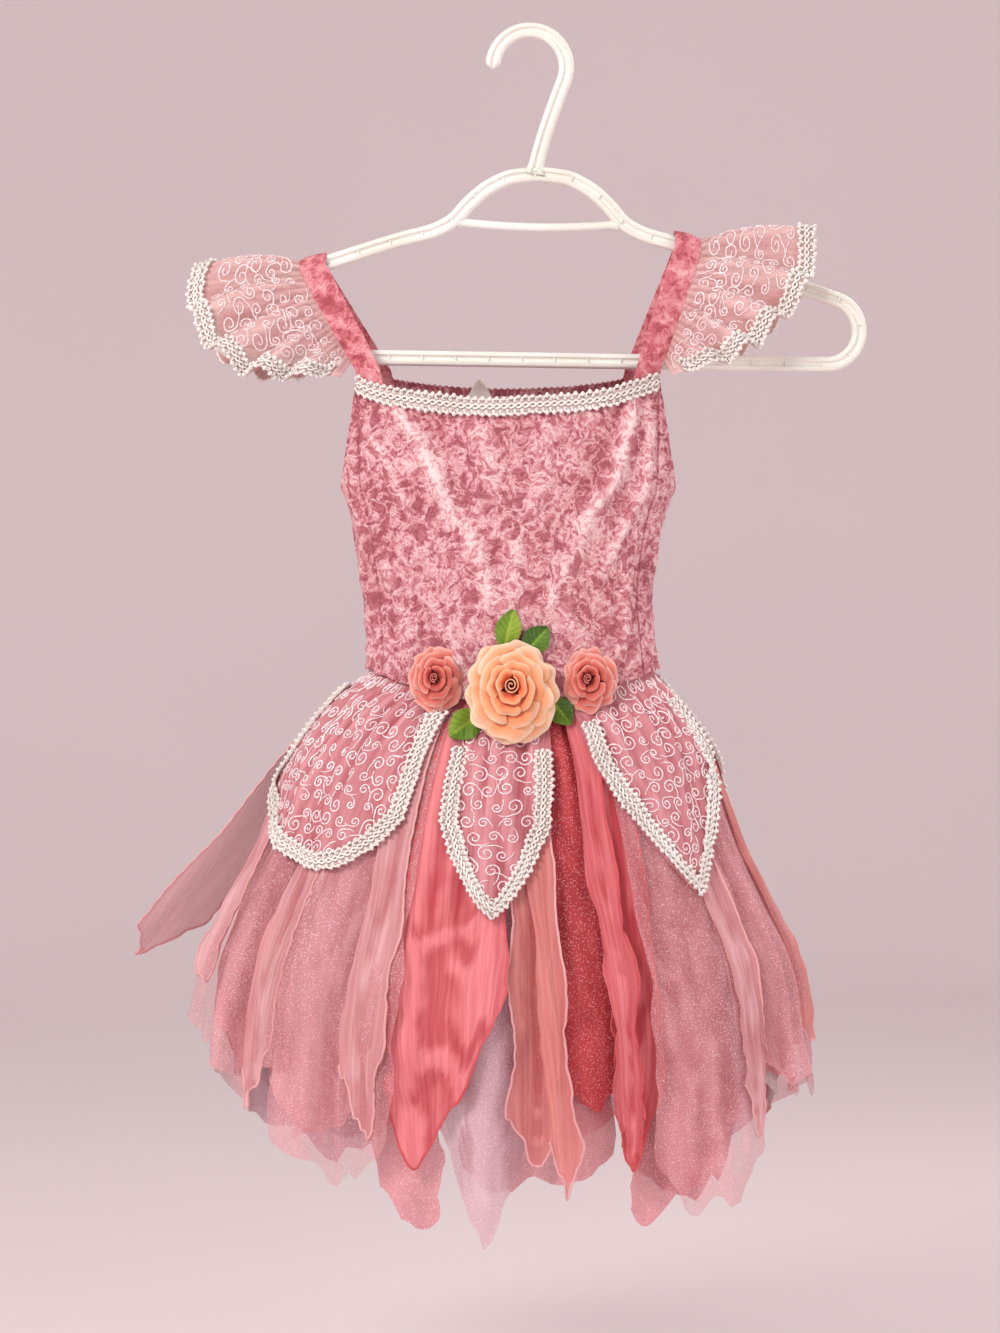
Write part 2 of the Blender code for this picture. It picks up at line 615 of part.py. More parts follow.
def panel_rows(panel, across):
    """Drops of a panel's rows: the shared levels as far as its shorter edge, one between, and its hem."""
    hem = hem_drop(panel, across)
    levels = [level for level in LEVELS if level < hem.min() - 5]
    last = levels[-1]
    rows = [np.full(across.shape, level) for level in levels]
    if hem.max() - last > 80:
        rows.append(last + (hem - last) * 0.5)
    return np.array(rows + [hem])


def make_panels(finishes):
    for row in PANELS:
        panel = dict(zip(PANEL_COLUMNS, row))
        columns = max(3, round(2 * panel["half_foot"] / DEGREES_PER_COLUMN[panel["layer"]]))
        across = np.linspace(-1, 1, columns + 1)
        drop = panel_rows(panel, across)
        angle = panel_angle(panel, across, drop)
        finish = finishes[panel_finish(panel["name"])]
        wall_on(panel["name"], panel_surface(panel), angle, drop, 0, SHEER, finish)
        if panel["layer"] == 0:
            make_petal_braid(panel, finishes["braid"])


def panel_finish(name):
    if name.startswith("petal"):
        return "print"
    if name == "organza_peach":
        return name
    if name.startswith("organza"):
        return "organza_coral" if "coral" in name else "organza_pale"
    if name in ("net_red", "net_coral_left"):
        return "net_red"
    return "net_rose" if name.startswith("net") and name != "net_lavender" else "net_pale"


def girth_per_degree(angle, drop):
    """Millimetres round the skirt for one degree."""
    turn = np.radians(angle)
    across = smooth_table(drop, SKIRT, 1) * np.cos(turn)
    return np.hypot(across, smooth_table(drop, SKIRT, 2) * np.sin(turn)) * math.pi / 180


def make_petal_braid(panel, material):
    """A ribbon down one edge of a petal, round its hem and up the other edge, lying on its outer face."""
    start = BRAID_FROM.get(panel["name"], BRAID_FROM_BEHIND)
    runs = []
    for edge in (-1.0, 1.0):
        end = float(hem_drop(panel, edge))
        between = [level for level in LEVELS if start + 3 < level < end - 5]
        runs.append([0.0] + [(level - start) / (end - start) for level in between])
    hems = BRAID_HEM_STATIONS
    left, right = len(runs[0]), len(runs[1])
    across = np.concatenate([-np.ones(left), np.linspace(-1, 1, hems), np.ones(right)])
    share = np.concatenate([runs[0], np.ones(hems), runs[1][::-1]])
    on_hem = share == 1
    grids = []
    for inward in (0.0, 0.5, 1.0):
        width = BRAID_WIDTH * inward
        outer_drop = start + (hem_drop(panel, across) - start) * share
        outer_angle = panel_angle(panel, across, outer_drop)
        half = panel["half_foot"] * girth_per_degree(outer_angle, outer_drop)
        inner = across * (1 - width / half)
        slope = (hem_drop(panel, inner + 0.02) - hem_drop(panel, inner - 0.02)) / (0.04 * half)
        inner_hem = hem_drop(panel, inner) - width * np.sqrt(1 + slope**2)
        drop = np.where(on_hem, inner_hem, outer_drop)
        grids.append((panel_angle(panel, inner, drop), drop))
    angle = np.array([grid[0] for grid in grids])
    drop = np.array([grid[1] for grid in grids])
    lift = SHEER / 2 + BRAID_LIFT + BRAID_THICKNESS / 2
    name = panel["name"].replace("petal", "braid")
    wall_on(name, panel_surface(panel), angle, drop, lift, BRAID_THICKNESS, material)


def strap_side(side):
    return -1 if side == "left" else 1


def inside_bodice(side, offset, height, back, lift):
    """A place inside the bodice, offset from its middle towards that side, and lift from the velvet."""
    half_width = smooth_table(height, BODICE, 1)
    angle = np.degrees(np.arcsin(offset / half_width))
    angle = strap_side(side) * (180 - angle if back else angle)
    return moved_out(bodice_point, angle, -height, np.broadcast_to(-(VELVET / 2 + lift), angle.shape))


def strap_ends(side, back):
    """Where the strap leaves the bodice: its middle there and its direction across, away from the neck."""
    offset = STRAP_BACK_OFFSET if back else STRAP_FRONT_OFFSET
    spread = np.array([-1.0, 0.0, 1.0]) * STRAP_WIDTH / 2 * STRAP_NARROWS
    height = np.full(3, STRAP_LEAVES_Z)
    places = inside_bodice(side, offset + STRAP_RISE_OUT + spread, height, back, SEAM_GAP + VELVET / 2)
    return places[1], unit(places[2] - places[0])


def strap_line(side, run_stations):
    """The strap's middle line from the front over the arm to the back, its direction across, and shares."""
    top_x = STRAP_TOP_X[side]
    arm_z, slope = arm_place(top_x)
    sign = strap_side(side)
    across_top = np.array([math.cos(slope), 0.0, math.sin(slope)]) * sign
    radius = HANGER_SECTION_HEIGHT / 2 + VELVET / 2 + STRAP_CLEARANCE + STRAP_SLACK[side]
    turn = np.radians(np.linspace(190, -10, STRAP_TURN_STATIONS + 1))
    centre = np.array([top_x, 0.0, arm_z])
    over = centre + radius * np.stack([np.zeros(len(turn)), np.cos(turn), np.sin(turn)], axis=1)
    share = np.linspace(0, 1, run_stations, endpoint=False)[:, None]
    front, front_across = strap_ends(side, False)
    back, back_across = strap_ends(side, True)
    rise, fall = front + (over[0] - front) * share, back + (over[-1] - back) * share
    line = np.concatenate([rise, over, fall[::-1]])
    level = np.concatenate([share[:, 0], np.ones(len(over)), share[::-1, 0]])[:, None]
    base = np.where(np.arange(len(line))[:, None] < len(line) / 2, front_across, back_across)
    across = unit(base * (1 - level) + across_top * level)
    travelled = np.concatenate([[0], np.cumsum(np.linalg.norm(np.diff(line, axis=0), axis=1))])
    return line, across, travelled / travelled[-1]


def make_strap(side, material):
    line, across, _ = strap_line(side, STRAP_RUN_STATIONS)
    along = unit(np.gradient(line, axis=0))
    normal = unit(np.cross(along, across)) * -strap_side(side)
    spread = np.linspace(-STRAP_WIDTH / 2, STRAP_WIDTH / 2, 3)
    middle = line + across * spread[:, None, None]
    faces = []
    for lift, step in ((SEAM_GAP, VELVET / 2), (SEAM_GAP + VELVET, -VELVET / 2)):
        tails = []
        for back, offset in ((False, STRAP_FRONT_OFFSET), (True, STRAP_BACK_OFFSET)):
            heights = np.linspace(STRAP_BASE_Z, STRAP_LEAVES_Z, 3)
            rise = STRAP_RISE_OUT * (heights - STRAP_BASE_Z) / (STRAP_LEAVES_Z - STRAP_BASE_Z)
            place = offset + rise[None, :] + STRAP_NARROWS * spread[:, None]
            height = np.broadcast_to(heights, place.shape)
            tails.append(inside_bodice(side, place, height, back, lift))
        free = (middle + normal * step)[:, 1:-1]
        faces.append(np.concatenate([tails[0], free, tails[1][:, ::-1]], axis=1))
    wall("strap_" + side, faces[0], faces[1], material)


def sleeve_grid(side, run_stations, rows):
    """Middle points and normals of the flutter sleeve, a fan from the strap's outer edge to its ruffles."""
    line, across, share = strap_line(side, run_stations)
    kept = slice(round(run_stations * SLEEVE_STARTS), -round(run_stations * SLEEVE_STOPS))
    line, across, share = line[kept], across[kept], share[kept]
    share = (share - share[0]) / (share[-1] - share[0])
    seam = line + across * (STRAP_WIDTH / 2 + 1.5 * SEAM_GAP)
    front = np.minimum(share, 1 - share)
    behind = share > 0.5
    raised = np.where(behind, SLEEVE_BACK_RAISE * (1 - 2 * front), 0)
    depth = smooth_table(front, SLEEVE_EDGE[side], 2)
    edge_x = smooth_table(front, SLEEVE_EDGE[side], 1)
    edge_z = smooth_table(front, SLEEVE_EDGE[side], 3) + raised
    edge = np.stack([edge_x, np.where(behind, depth, -depth), edge_z], axis=1)
    out = np.stack([np.zeros(len(share)), -np.cos(math.pi * share), np.sin(math.pi * share)], axis=1)
    reach = np.linspace(0, 1, rows + 1)[:, None, None]
    wave = np.sin(2 * math.pi * SLEEVE_RUFFLES * share + 0.4)[:, None]
    ends = np.clip(np.sin(math.pi * share), 0, 1)[:, None] ** 0.6
    ruffle = SLEEVE_RUFFLE_DEPTH * reach**1.3 * wave * ends
    puff = SLEEVE_PUFF * np.sin(math.pi * reach) * ends
    points = seam * (1 - reach) + edge * reach + out * (ruffle + puff)
    normals = unit(np.cross(np.gradient(points, axis=0), np.gradient(points, axis=1)))
    return points, normals * np.sign(np.sum(normals * out))


def make_sleeve(side, print_finish, braid_finish):
    points, normals = sleeve_grid(side, SLEEVE_RUN_STATIONS, SLEEVE_ROWS)
    wall("sleeve_" + side, points + normals * SHEER / 2, points - normals * SHEER / 2, print_finish)
    kept = slice(SLEEVE_BRAID_SKIP, -SLEEVE_BRAID_SKIP)
    last, before = points[-1, kept], points[-2, kept]
    length = np.linalg.norm(before - last, axis=-1)[:, None]
    inward = np.array([0.0, 1.0])[:, None, None] * np.minimum(BRAID_WIDTH / length, 0.95)
    middle = last + (before - last) * inward
    normal = unit(normals[-1, kept] * (1 - inward) + normals[-2, kept] * inward)
    inner = middle + normal * (SHEER / 2 + BRAID_LIFT)
    wall("braid_sleeve_" + side, inner + normal * BRAID_THICKNESS, inner, braid_finish)


def cover_y(x, z):
    """Front of the cloth at x and z: the velvet above the waist seam, the overskirt below it."""
    lowest, half_width, _, middle = BODICE[-1]
    turn = np.arcsin(np.clip((x - middle) / half_width, -0.99, 0.99))
    velvet = bodice_point(np.degrees(turn), -np.maximum(z, lowest))[..., 1] - VELVET / 2
    outer = skirt_surface(0)
    for _ in range(6):
        angle = np.degrees(turn)
        drop = np.clip(waist_z(angle) - z, 0, None)
        reached = outer(angle, drop)
        turn = turn + 0.6 * (x - reached[..., 0]) / (np.abs(np.cos(turn)) * 100 + 20)
    petal = outer(np.degrees(turn), np.clip(waist_z(np.degrees(turn)) - z, 0, None))[..., 1]
    return np.minimum(velvet, petal - SHEER / 2)


def make_rose(rose, material):
    """A flower as one relief: petals that step down in a spiral to a lobed rim, and a back on the cloth."""
    ring = np.linspace(0, 1, ROSE_RINGS + 1)[1:, None]
    turn = np.linspace(0, 2 * math.pi, ROSE_SECTORS, endpoint=False)[None, :]
    crests = np.abs(np.cos(rose["lobes"] / 2 * (turn + math.radians(rose["turn"]))))
    lobe = 1 - ROSE_LOBE_DEPTH * (1 - crests) * ring**2
    x = rose["x"] + rose["half_width"] * ring * lobe * np.cos(turn)
    z = rose["z"] + rose["half_height"] * ring * lobe * np.sin(turn)
    spiral = (turn / (2 * math.pi) * ROSE_SPIRAL_ARMS + ROSE_SPIRAL_PITCH * ring) % 1
    step = ROSE_STEP * (spiral - 0.5) * np.clip(1.15 - ring, 0, 1) * np.clip(ring * 4, 0, 1)
    back = cover_y(x, z) - rose["lift"]
    centre_back = cover_y(np.array([rose["x"]]), np.array([rose["z"]])) - rose["lift"]
    crest = min(back.min(), centre_back.min()) - ROSE_RIM
    top = crest - rose["height"] * (1 - ring**2.4) * 0.8 - step
    centre_top = crest - rose["height"] * 0.8
    front_points = np.stack([x, top, z], axis=-1).reshape(-1, 3)
    back_points = np.stack([x, back, z], axis=-1).reshape(-1, 3)
    offset = len(front_points)
    poles = np.array([[rose["x"], centre_top, rose["z"]], [rose["x"], centre_back[0], rose["z"]]])
    points = np.concatenate([front_points, back_points, poles])
    faces = []
    half = ROSE_RINGS // 2 - 1
    for index in range(ROSE_SECTORS):
        beside = (index + 1) % ROSE_SECTORS
        faces.append((index, beside, 2 * offset))
        for row in range(ROSE_RINGS - 1):
            near, far = row * ROSE_SECTORS, (row + 1) * ROSE_SECTORS
            faces.append((near + index, far + index, far + beside))
            faces.append((near + index, far + beside, near + beside))
        inner, rim = offset + half * ROSE_SECTORS, (ROSE_RINGS - 1) * ROSE_SECTORS
        faces.append((inner + beside, inner + index, 2 * offset + 1))
        faces.append((inner + beside, offset + rim + beside, offset + rim + index))
        faces.append((inner + beside, offset + rim + index, inner + index))
        faces.append((rim + index, offset + rim + index, offset + rim + beside))
        faces.append((rim + index, offset + rim + beside, rim + beside))
    used = sorted({corner for face in faces for corner in face})
    renamed = {corner: place for place, corner in enumerate(used)}
    points = points[used]
    faces = [tuple(renamed[corner] for corner in face) for face in faces]
    return finish_mesh(rose["name"], points, faces, material)


def make_leaf(leaf, material):
    """A pointed leaf, folded a little along its midrib, lying on the cloth."""
    along = np.linspace(0, 1, 7)[:, None]
    across = np.linspace(-1, 1, 3)[None, :]
    outline = leaf["half_width"] * np.sin(math.pi * (0.14 + 0.84 * along) ** 1.15) ** 0.8
    outline = np.maximum(outline, 0.5)
    turn = math.radians(leaf["direction"])
    run = leaf["length"] * along
    side = outline * across
    x = leaf["x"] + run * math.cos(turn) - side * math.sin(turn)
    z = leaf["z"] + run * math.sin(turn) + side * math.cos(turn)
    bend = leaf["cup"] * np.abs(across) * np.sin(math.pi * along) * along
    back = cover_y(x, z) - LEAF_LIFT - bend
    inner = np.stack([x, back, z], axis=-1)
    outer = inner - (0.0, LEAF_THICKNESS, 0.0)
    wall(leaf["name"], outer, inner, material)


def make_label(row, material):
    """A label sewn to the inside of the back's top edge."""
    name, middle, half_width, above, below, top_share = row
    share = np.linspace(0, 1, 4)[:, None]
    width = half_width * (top_share + (1 - top_share) * share)
    x = middle + width * np.linspace(-1, 1, 4)[None, :]
    _, body_half_width, _, body_middle = BODICE[0]
    angle = 180 - np.degrees(np.arcsin((x - body_middle) / body_half_width))
    edge = back_edge_z(np.array([180.0]))[0]
    height = edge + above - (above + below) * share + 0 * x
    lift = -(VELVET / 2 + SEAM_GAP + LABEL_THICKNESS / 2)
    wall_on(name, bodice_point, angle, -height, lift, LABEL_THICKNESS, material)


def main():
    clear_scene()
    finishes = make_finishes()
    make_hanger(finishes["hanger"])
    make_bodice(finishes["velvet"])
    make_neck_braid(finishes["braid"])
    for side in ("left", "right"):
        make_strap(side, finishes["strap"])
        make_sleeve(side, finishes["print"], finishes["braid"])
    make_panels(finishes)
    for row in ROSES:
        rose = dict(zip(ROSE_COLUMNS, row))
        make_rose(rose, finishes["peach" if rose["name"] == "rose_peach" else "rose"])
    for row in LEAVES:
        make_leaf(dict(zip(LEAF_COLUMNS, row)), finishes["leaf"])
    for row in LABELS:
        make_label(row, finishes["label"])


main()
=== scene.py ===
import math

import bpy
import numpy as np
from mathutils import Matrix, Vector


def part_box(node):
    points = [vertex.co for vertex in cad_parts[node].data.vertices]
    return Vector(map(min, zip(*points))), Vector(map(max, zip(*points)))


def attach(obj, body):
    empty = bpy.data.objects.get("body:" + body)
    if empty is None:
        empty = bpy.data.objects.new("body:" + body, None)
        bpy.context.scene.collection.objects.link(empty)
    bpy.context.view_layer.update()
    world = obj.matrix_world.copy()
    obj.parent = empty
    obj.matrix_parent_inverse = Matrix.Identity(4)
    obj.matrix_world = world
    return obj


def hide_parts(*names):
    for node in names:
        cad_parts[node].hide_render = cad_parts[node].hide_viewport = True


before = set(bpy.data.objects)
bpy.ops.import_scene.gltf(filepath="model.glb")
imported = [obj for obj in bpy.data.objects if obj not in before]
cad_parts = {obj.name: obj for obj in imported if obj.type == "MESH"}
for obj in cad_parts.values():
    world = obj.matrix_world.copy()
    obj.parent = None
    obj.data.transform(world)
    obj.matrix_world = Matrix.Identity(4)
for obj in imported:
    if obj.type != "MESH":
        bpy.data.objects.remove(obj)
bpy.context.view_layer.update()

# Lengths below are millimetres and angles are degrees. An angle round the body is 0 at the front centre and
# 90 at the right side seam. Left and right are the viewer's. A drop is measured down from the waist seam.
mm = 0.001


# Numbers and grids


def smoothTable(at, rows, column):
    # a curve through a table's rows that never overshoots: cubic pieces whose slopes are harmonic means
    table = np.array(rows, float)
    table = table[np.argsort(table[:, 0])]
    known, values = table[:, 0], table[:, column]
    slopes = np.diff(values) / np.diff(known)
    joined = slopes[1:] * slopes[:-1]
    inner = np.where(joined > 0, 2 * joined / (slopes[1:] + slopes[:-1] + 1e-12), 0)
    tangents = np.concatenate([slopes[:1], inner, slopes[-1:]])
    at = np.clip(at, known[0], known[-1])
    span = np.clip(np.searchsorted(known, at) - 1, 0, len(known) - 2)
    width = known[span + 1] - known[span]
    t = (at - known[span]) / width
    start = values[span] * (1 + 2 * t) * (1 - t) ** 2 + tangents[span] * width * t * (1 - t) ** 2
    end = values[span + 1] * t * t * (3 - 2 * t) - tangents[span + 1] * width * t * t * (1 - t)
    return start + end


def unit(vectors):
    return vectors / np.maximum(np.linalg.norm(vectors, axis=-1, keepdims=True), 1e-9)


def noise(u, v, cell, seed):
    # smooth noise from -1 to 1: random corners of a square lattice, blended by smoothstep
    corners = np.random.default_rng(seed).uniform(-1, 1, (97, 97))
    u, v = np.broadcast_arrays(np.asarray(u, float) / cell, np.asarray(v, float) / cell)
    i, j = np.floor(u).astype(int), np.floor(v).astype(int)
    s, t = u - i, v - j
    s, t = s * s * (3 - 2 * s), t * t * (3 - 2 * t)
    a, b = corners[i % 97, j % 97], corners[(i + 1) % 97, j % 97]
    c, d = corners[i % 97, (j + 1) % 97], corners[(i + 1) % 97, (j + 1) % 97]
    return (a * (1 - s) + b * s) * (1 - t) + (c * (1 - s) + d * s) * t


def ridges(u, v, creases):
    # creases as soft ridges: height * exp(-(distance / width)^2) along each segment, faded at its ends
    total = np.zeros(np.broadcast(u, v).shape)
    for u0, v0, u1, v1, height, width in creases:
        run = math.hypot(u1 - u0, v1 - v0)
        along = ((u - u0) * (u1 - u0) + (v - v0) * (v1 - v0)) / run**2
        aside = ((u - u0) * (v1 - v0) - (v - v0) * (u1 - u0)) / run
        bend = aside + 0.06 * run * np.sin(math.pi * along)
        fade = np.clip(along * 4 + 0.5, 0, 1) * np.clip((1 - along) * 4 + 0.5, 0, 1)
        total = total + height * fade * np.exp(-((bend / width) ** 2))
    return total


def gridNormals(grid):
    return unit(np.cross(np.gradient(grid, axis=0), np.gradient(grid, axis=1)))


def sideOf(grid, towards):
    # 1 where the grid's own normals point the way that towards does, -1 where they point against it
    return 1 if np.sum(gridNormals(grid) * towards) > 0 else -1


def travelled(grid, axis):
    # the length gone along the rows (axis 1) or the columns (axis 0), 0 where each one starts
    steps = np.diff(grid, axis=axis, prepend=np.take(grid, [0], axis))
    return np.cumsum(np.linalg.norm(steps, axis=-1), axis)


def seedOf(name):
    # one number for each name, so that every piece has folds of its own
    return sum(map(ord, name))


def resampled(path, step):
    # the path at even steps of its own length, and how far along each place is
    lengths = travelled(path[:, :3], 0)
    count = max(4, int(round(lengths[-1] / step)) + 1)
    at = np.linspace(0, lengths[-1], count)
    return np.stack([np.interp(at, lengths, column) for column in path.T], axis=1), at


# Meshes: each maker gives (points, quads, uv, tone), joined and turned into an object by makePiece


def wallOf(middle, thickness, outward, tone=0.0):
    # a closed wall: the grid moved half the thickness along its normal to each side, joined round the rim
    rows, columns = middle.shape[:2]
    normals = gridNormals(middle) * outward
    half = normals * (thickness / 2)
    points = np.concatenate([middle + half, middle - half]).reshape(-1, 3)
    count = rows * columns
    index = np.arange(count).reshape(rows, columns)
    a, b, c, d = index[:-1, :-1], index[:-1, 1:], index[1:, 1:], index[1:, :-1]
    face = np.stack([a, b, c, d], axis=-1).reshape(-1, 4)
    rim = np.concatenate([index[0, :-1], index[:-1, -1], index[-1, :0:-1], index[:0:-1, 0]])
    beyond = np.roll(rim, -1)
    side = np.stack([beyond, rim, rim + count, beyond + count], axis=-1)
    quads = np.concatenate([face, face[:, ::-1] + count, side])
    if outward < 0:
        quads = quads[:, ::-1]
    across = travelled(middle, 1)
    uv = np.stack([across - across[:, -1:] / 2, travelled(middle, 0)], axis=-1).reshape(-1, 2)
    shade = np.broadcast_to(np.asarray(tone, float), (rows, columns)).reshape(-1)
    return points, quads, np.concatenate([uv, uv]), np.concatenate([shade, shade])


def ringQuads(here, following):
    # the band between each ring of points and the next one
    return np.stack([here, np.roll(here, -1, -1), np.roll(following, -1, -1), following], -1).reshape(-1, 4)


def tubeOf(path, normal, halfWidth, halfHeight, sides=4, tone=0.0):
    # an oval section of an even number of sides, along one path or along many of the same length
    path = np.asarray(path, float)
    path = path.reshape(-1, *path.shape[-2:])
    normal = np.broadcast_to(np.asarray(normal, float), path.shape)
    along = unit(np.gradient(path, axis=1))
    normal = unit(normal - along * np.sum(normal * along, -1, keepdims=True))
    side = np.cross(along, normal)
    many, stations = path.shape[:2]
    turn = 2 * math.pi * (np.arange(sides) + 0.5) / sides
    width = np.broadcast_to(np.asarray(halfWidth, float), (many, stations))[..., None, None]
    height = np.broadcast_to(np.asarray(halfHeight, float), (many, stations))[..., None, None]
    section = side[:, :, None] * np.cos(turn)[:, None] * width
    section = section + normal[:, :, None] * np.sin(turn)[:, None] * height
    points = (path[:, :, None] + section).reshape(-1, 3)
    index = np.arange(many * stations * sides).reshape(many, stations, sides)
    quads = [ringQuads(index[:, :-1], index[:, 1:])]
    for first in range(1, sides - 1, 2):
        corners = [0, first, first + 1, first + 2]
        quads.append(index[:, 0][:, corners[::-1]])
        quads.append(index[:, -1][:, corners])
    quads = np.concatenate(quads)[:, ::-1]
    uv = np.stack(np.broadcast_arrays(turn * 0.5, travelled(path, 1)[..., None]), axis=-1).reshape(-1, 2)
    return points, quads, uv, np.full(len(points), float(tone))


def profileOf(path, normal, section, closed):
    # any closed section, rows of (aside, up), carried along the path
    along = unit(np.roll(path, -1, 0) - np.roll(path, 1, 0) if closed else np.gradient(path, axis=0))
    normal = np.broadcast_to(normal, path.shape)
    side = np.cross(along, normal)
    section = np.broadcast_to(section, (len(path), *np.shape(section)[-2:]))
    points = path[:, None] + side[:, None] * section[..., :1] + normal[:, None] * section[..., 1:]
    count = section.shape[1]
    index = np.arange(len(path) * count).reshape(len(path), count)
    quads = ringQuads(index, np.roll(index, -1, 0)) if closed else ringQuads(index[:-1], index[1:])
    points = points.reshape(-1, 3)
    if not closed:
        ends = points.reshape(len(path), count, 3)[[0, -1]].mean(1)
        points = np.concatenate([points, ends])
        for row, pole in ((index[0][::-1], index.size), (index[-1], index.size + 1)):
            fan = np.stack([row, np.roll(row, -1), np.full(count, pole), np.full(count, pole)], -1)
            quads = np.concatenate([quads, fan])
    return points, quads, np.zeros((len(points), 2)), np.zeros(len(points))


def joined(parts):
    offsets = np.cumsum([0] + [len(part[0]) for part in parts[:-1]])
    points, uv, tone = (np.concatenate([part[k] for part in parts]) for k in (0, 2, 3))
    return points, np.concatenate([part[1] + offset for part, offset in zip(parts, offsets)]), uv, tone


def makePiece(name, shape, finish, nodes=()):
    # a quad whose last two corners are one is a triangle
    points, quads, uv, tone = shape
    triangle = quads[:, 2] == quads[:, 3]
    sizes = np.where(triangle, 3, 4)
    corners = quads.reshape(-1)[np.stack([np.ones_like(triangle)] * 3 + [~triangle], 1).reshape(-1)]
    mesh = bpy.data.meshes.new(name)
    mesh.vertices.add(len(points))
    mesh.vertices.foreach_set("co", (points * mm).astype(np.float32).reshape(-1))
    mesh.loops.add(len(corners))
    mesh.loops.foreach_set("vertex_index", corners.astype(np.int32))
    mesh.polygons.add(len(sizes))
    mesh.polygons.foreach_set("loop_start", np.concatenate([[0], np.cumsum(sizes)[:-1]]).astype(np.int32))
    mesh.update(calc_edges=True)
    mesh.validate()
    layer = mesh.uv_layers.new(name="cloth")
    layer.data.foreach_set("uv", (uv[corners] * mm).astype(np.float32).reshape(-1))
    shade = mesh.attributes.new("tone", "FLOAT", "POINT")
    shade.data.foreach_set("value", tone.astype(np.float32))
    material, ownSlot = finishes[finish]
    mesh.materials.append(material)
    mesh.shade_smooth()
    mesh.set_sharp_from_angle(angle=math.radians(60))
    piece = bpy.data.objects.new(name, mesh)
    bpy.context.scene.collection.objects.link(piece)
    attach(piece, "root")
    for node in nodes:
        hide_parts(node)
    return piece


def makeCloth(name, middle, wall, towards, tone, finish, nodes):
    return makePiece(name, wallOf(middle, wall, sideOf(middle, towards), tone), finish, nodes)


def declareSheet(middle):
    # the cut's width is the middle one of its rows' lengths, its length the longest column
    m = middle * mm
    width = np.median(np.linalg.norm(np.diff(m, axis=1), axis=-1).sum(1))
    length = np.linalg.norm(np.diff(m, axis=0), axis=-1).sum(0).max()
    first = np.cross(m[1:, :-1] - m[:-1, :-1], m[:-1, 1:] - m[:-1, :-1])
    second = np.cross(m[1:, :-1] - m[1:, 1:], m[:-1, 1:] - m[1:, 1:])
    area = (np.linalg.norm(first, axis=-1) + np.linalg.norm(second, axis=-1)).sum() / 2
    area = min(area, width * length)


# Finishes


class Link:
    # a node's socket that Python arithmetic can use: each operator adds one Math node

    def __init__(self, finish, socket):
        self.finish, self.socket = finish, socket

    def maths(self, operation, *values):
        return self.finish.node("ShaderNodeMath", {"operation": operation}, values)

    def other(self, output):
        return Link(self.finish, self.socket.node.outputs[output])

    def __add__(self, other):
        return self.maths("ADD", self, other)

    def __sub__(self, other):
        return self.maths("SUBTRACT", self, other)

    def __rsub__(self, other):
        return self.maths("SUBTRACT", other, self)

    def __mul__(self, other):
        return self.maths("MULTIPLY", self, other)

    def __abs__(self):
        return self.maths("ABSOLUTE", self)

    def kept(self):
        return self.finish.node("ShaderNodeClamp", {}, (self, 0.0, 1.0))

    __radd__, __rmul__ = __add__, __mul__


class Finish:
    # one Principled material; fixed numbers go straight onto the shader's own sockets

    def __init__(self, name, **fixed):
        self.material = bpy.data.materials.new(name)
        self.material.use_nodes = True
        self.tree = self.material.node_tree
        self.shader = self.tree.nodes["Principled BSDF"]
        for key, value in fixed.items():
            self.shader.inputs[key.replace("_", " ")].default_value = value

    def node(self, kind, settings, inputs, output=0):
        made = self.tree.nodes.new(kind)
        for key, value in settings.items():
            if key == "stops":
                self.setStops(made.color_ramp, value)
            else:
                setattr(made, key, value)
        for key, value in inputs.items() if isinstance(inputs, dict) else enumerate(inputs):
            if isinstance(value, Link):
                self.tree.links.new(value.socket, made.inputs[key])
            else:
                made.inputs[key].default_value = value
        return Link(self, made.outputs[output])

    def setStops(self, ramp, stops):
        while len(ramp.elements) < len(stops):
            ramp.elements.new(0.5)
        for element, (place, colour) in zip(ramp.elements, stops):
            element.position = place
            element.color = (*colour, 1.0)

    def place(self, stretch=(1, 1, 1), onCloth=True):
        # where the pattern is read: the cloth's own lengths, or the object's space
        if onCloth:
            source = self.node("ShaderNodeUVMap", {"uv_map": "cloth"}, {})
        else:
            source = self.node("ShaderNodeTexCoord", {}, {}, "Object")
        return self.node("ShaderNodeMapping", {}, {"Vector": source, "Scale": stretch})

    def noise(self, place, scale, detail=2.0, distortion=0.0, flat=False):
        settings = {"noise_dimensions": "2D" if flat else "3D"}
        sockets = {"Vector": place, "Scale": scale, "Detail": detail, "Distortion": distortion}
        return self.node("ShaderNodeTexNoise", settings, sockets)

    def cells(self, place, scale, flat=False):
        settings = {"voronoi_dimensions": "2D" if flat else "3D"}
        return self.node("ShaderNodeTexVoronoi", settings, {"Vector": place, "Scale": scale}, "Distance")

    def tone(self):
        return self.node("ShaderNodeAttribute", {"attribute_name": "tone"}, {}, "Fac")

    def red(self, colour):
        return self.node("ShaderNodeSeparateColor", {}, (colour,), "Red")

    def ramp(self, factor, *stops):
        return self.node("ShaderNodeValToRGB", {"stops": stops}, (factor,), "Color")

    def mix(self, factor, first, second):
        first, second = ((*c, 1.0) if isinstance(c, tuple) else c for c in (first, second))
        return self.node("ShaderNodeMix", {"data_type": "RGBA"}, {0: factor, 6: first, 7: second}, 2)

    def relief(self, height, distance, strength=1.0):
        return self.node("ShaderNodeBump", {}, {"Height": height, "Distance": distance, "Strength": strength})

    def wear(self, **links):
        for key, value in links.items():
            self.tree.links.new(value.socket, self.shader.inputs[key.replace("_", " ")])
        return self.material


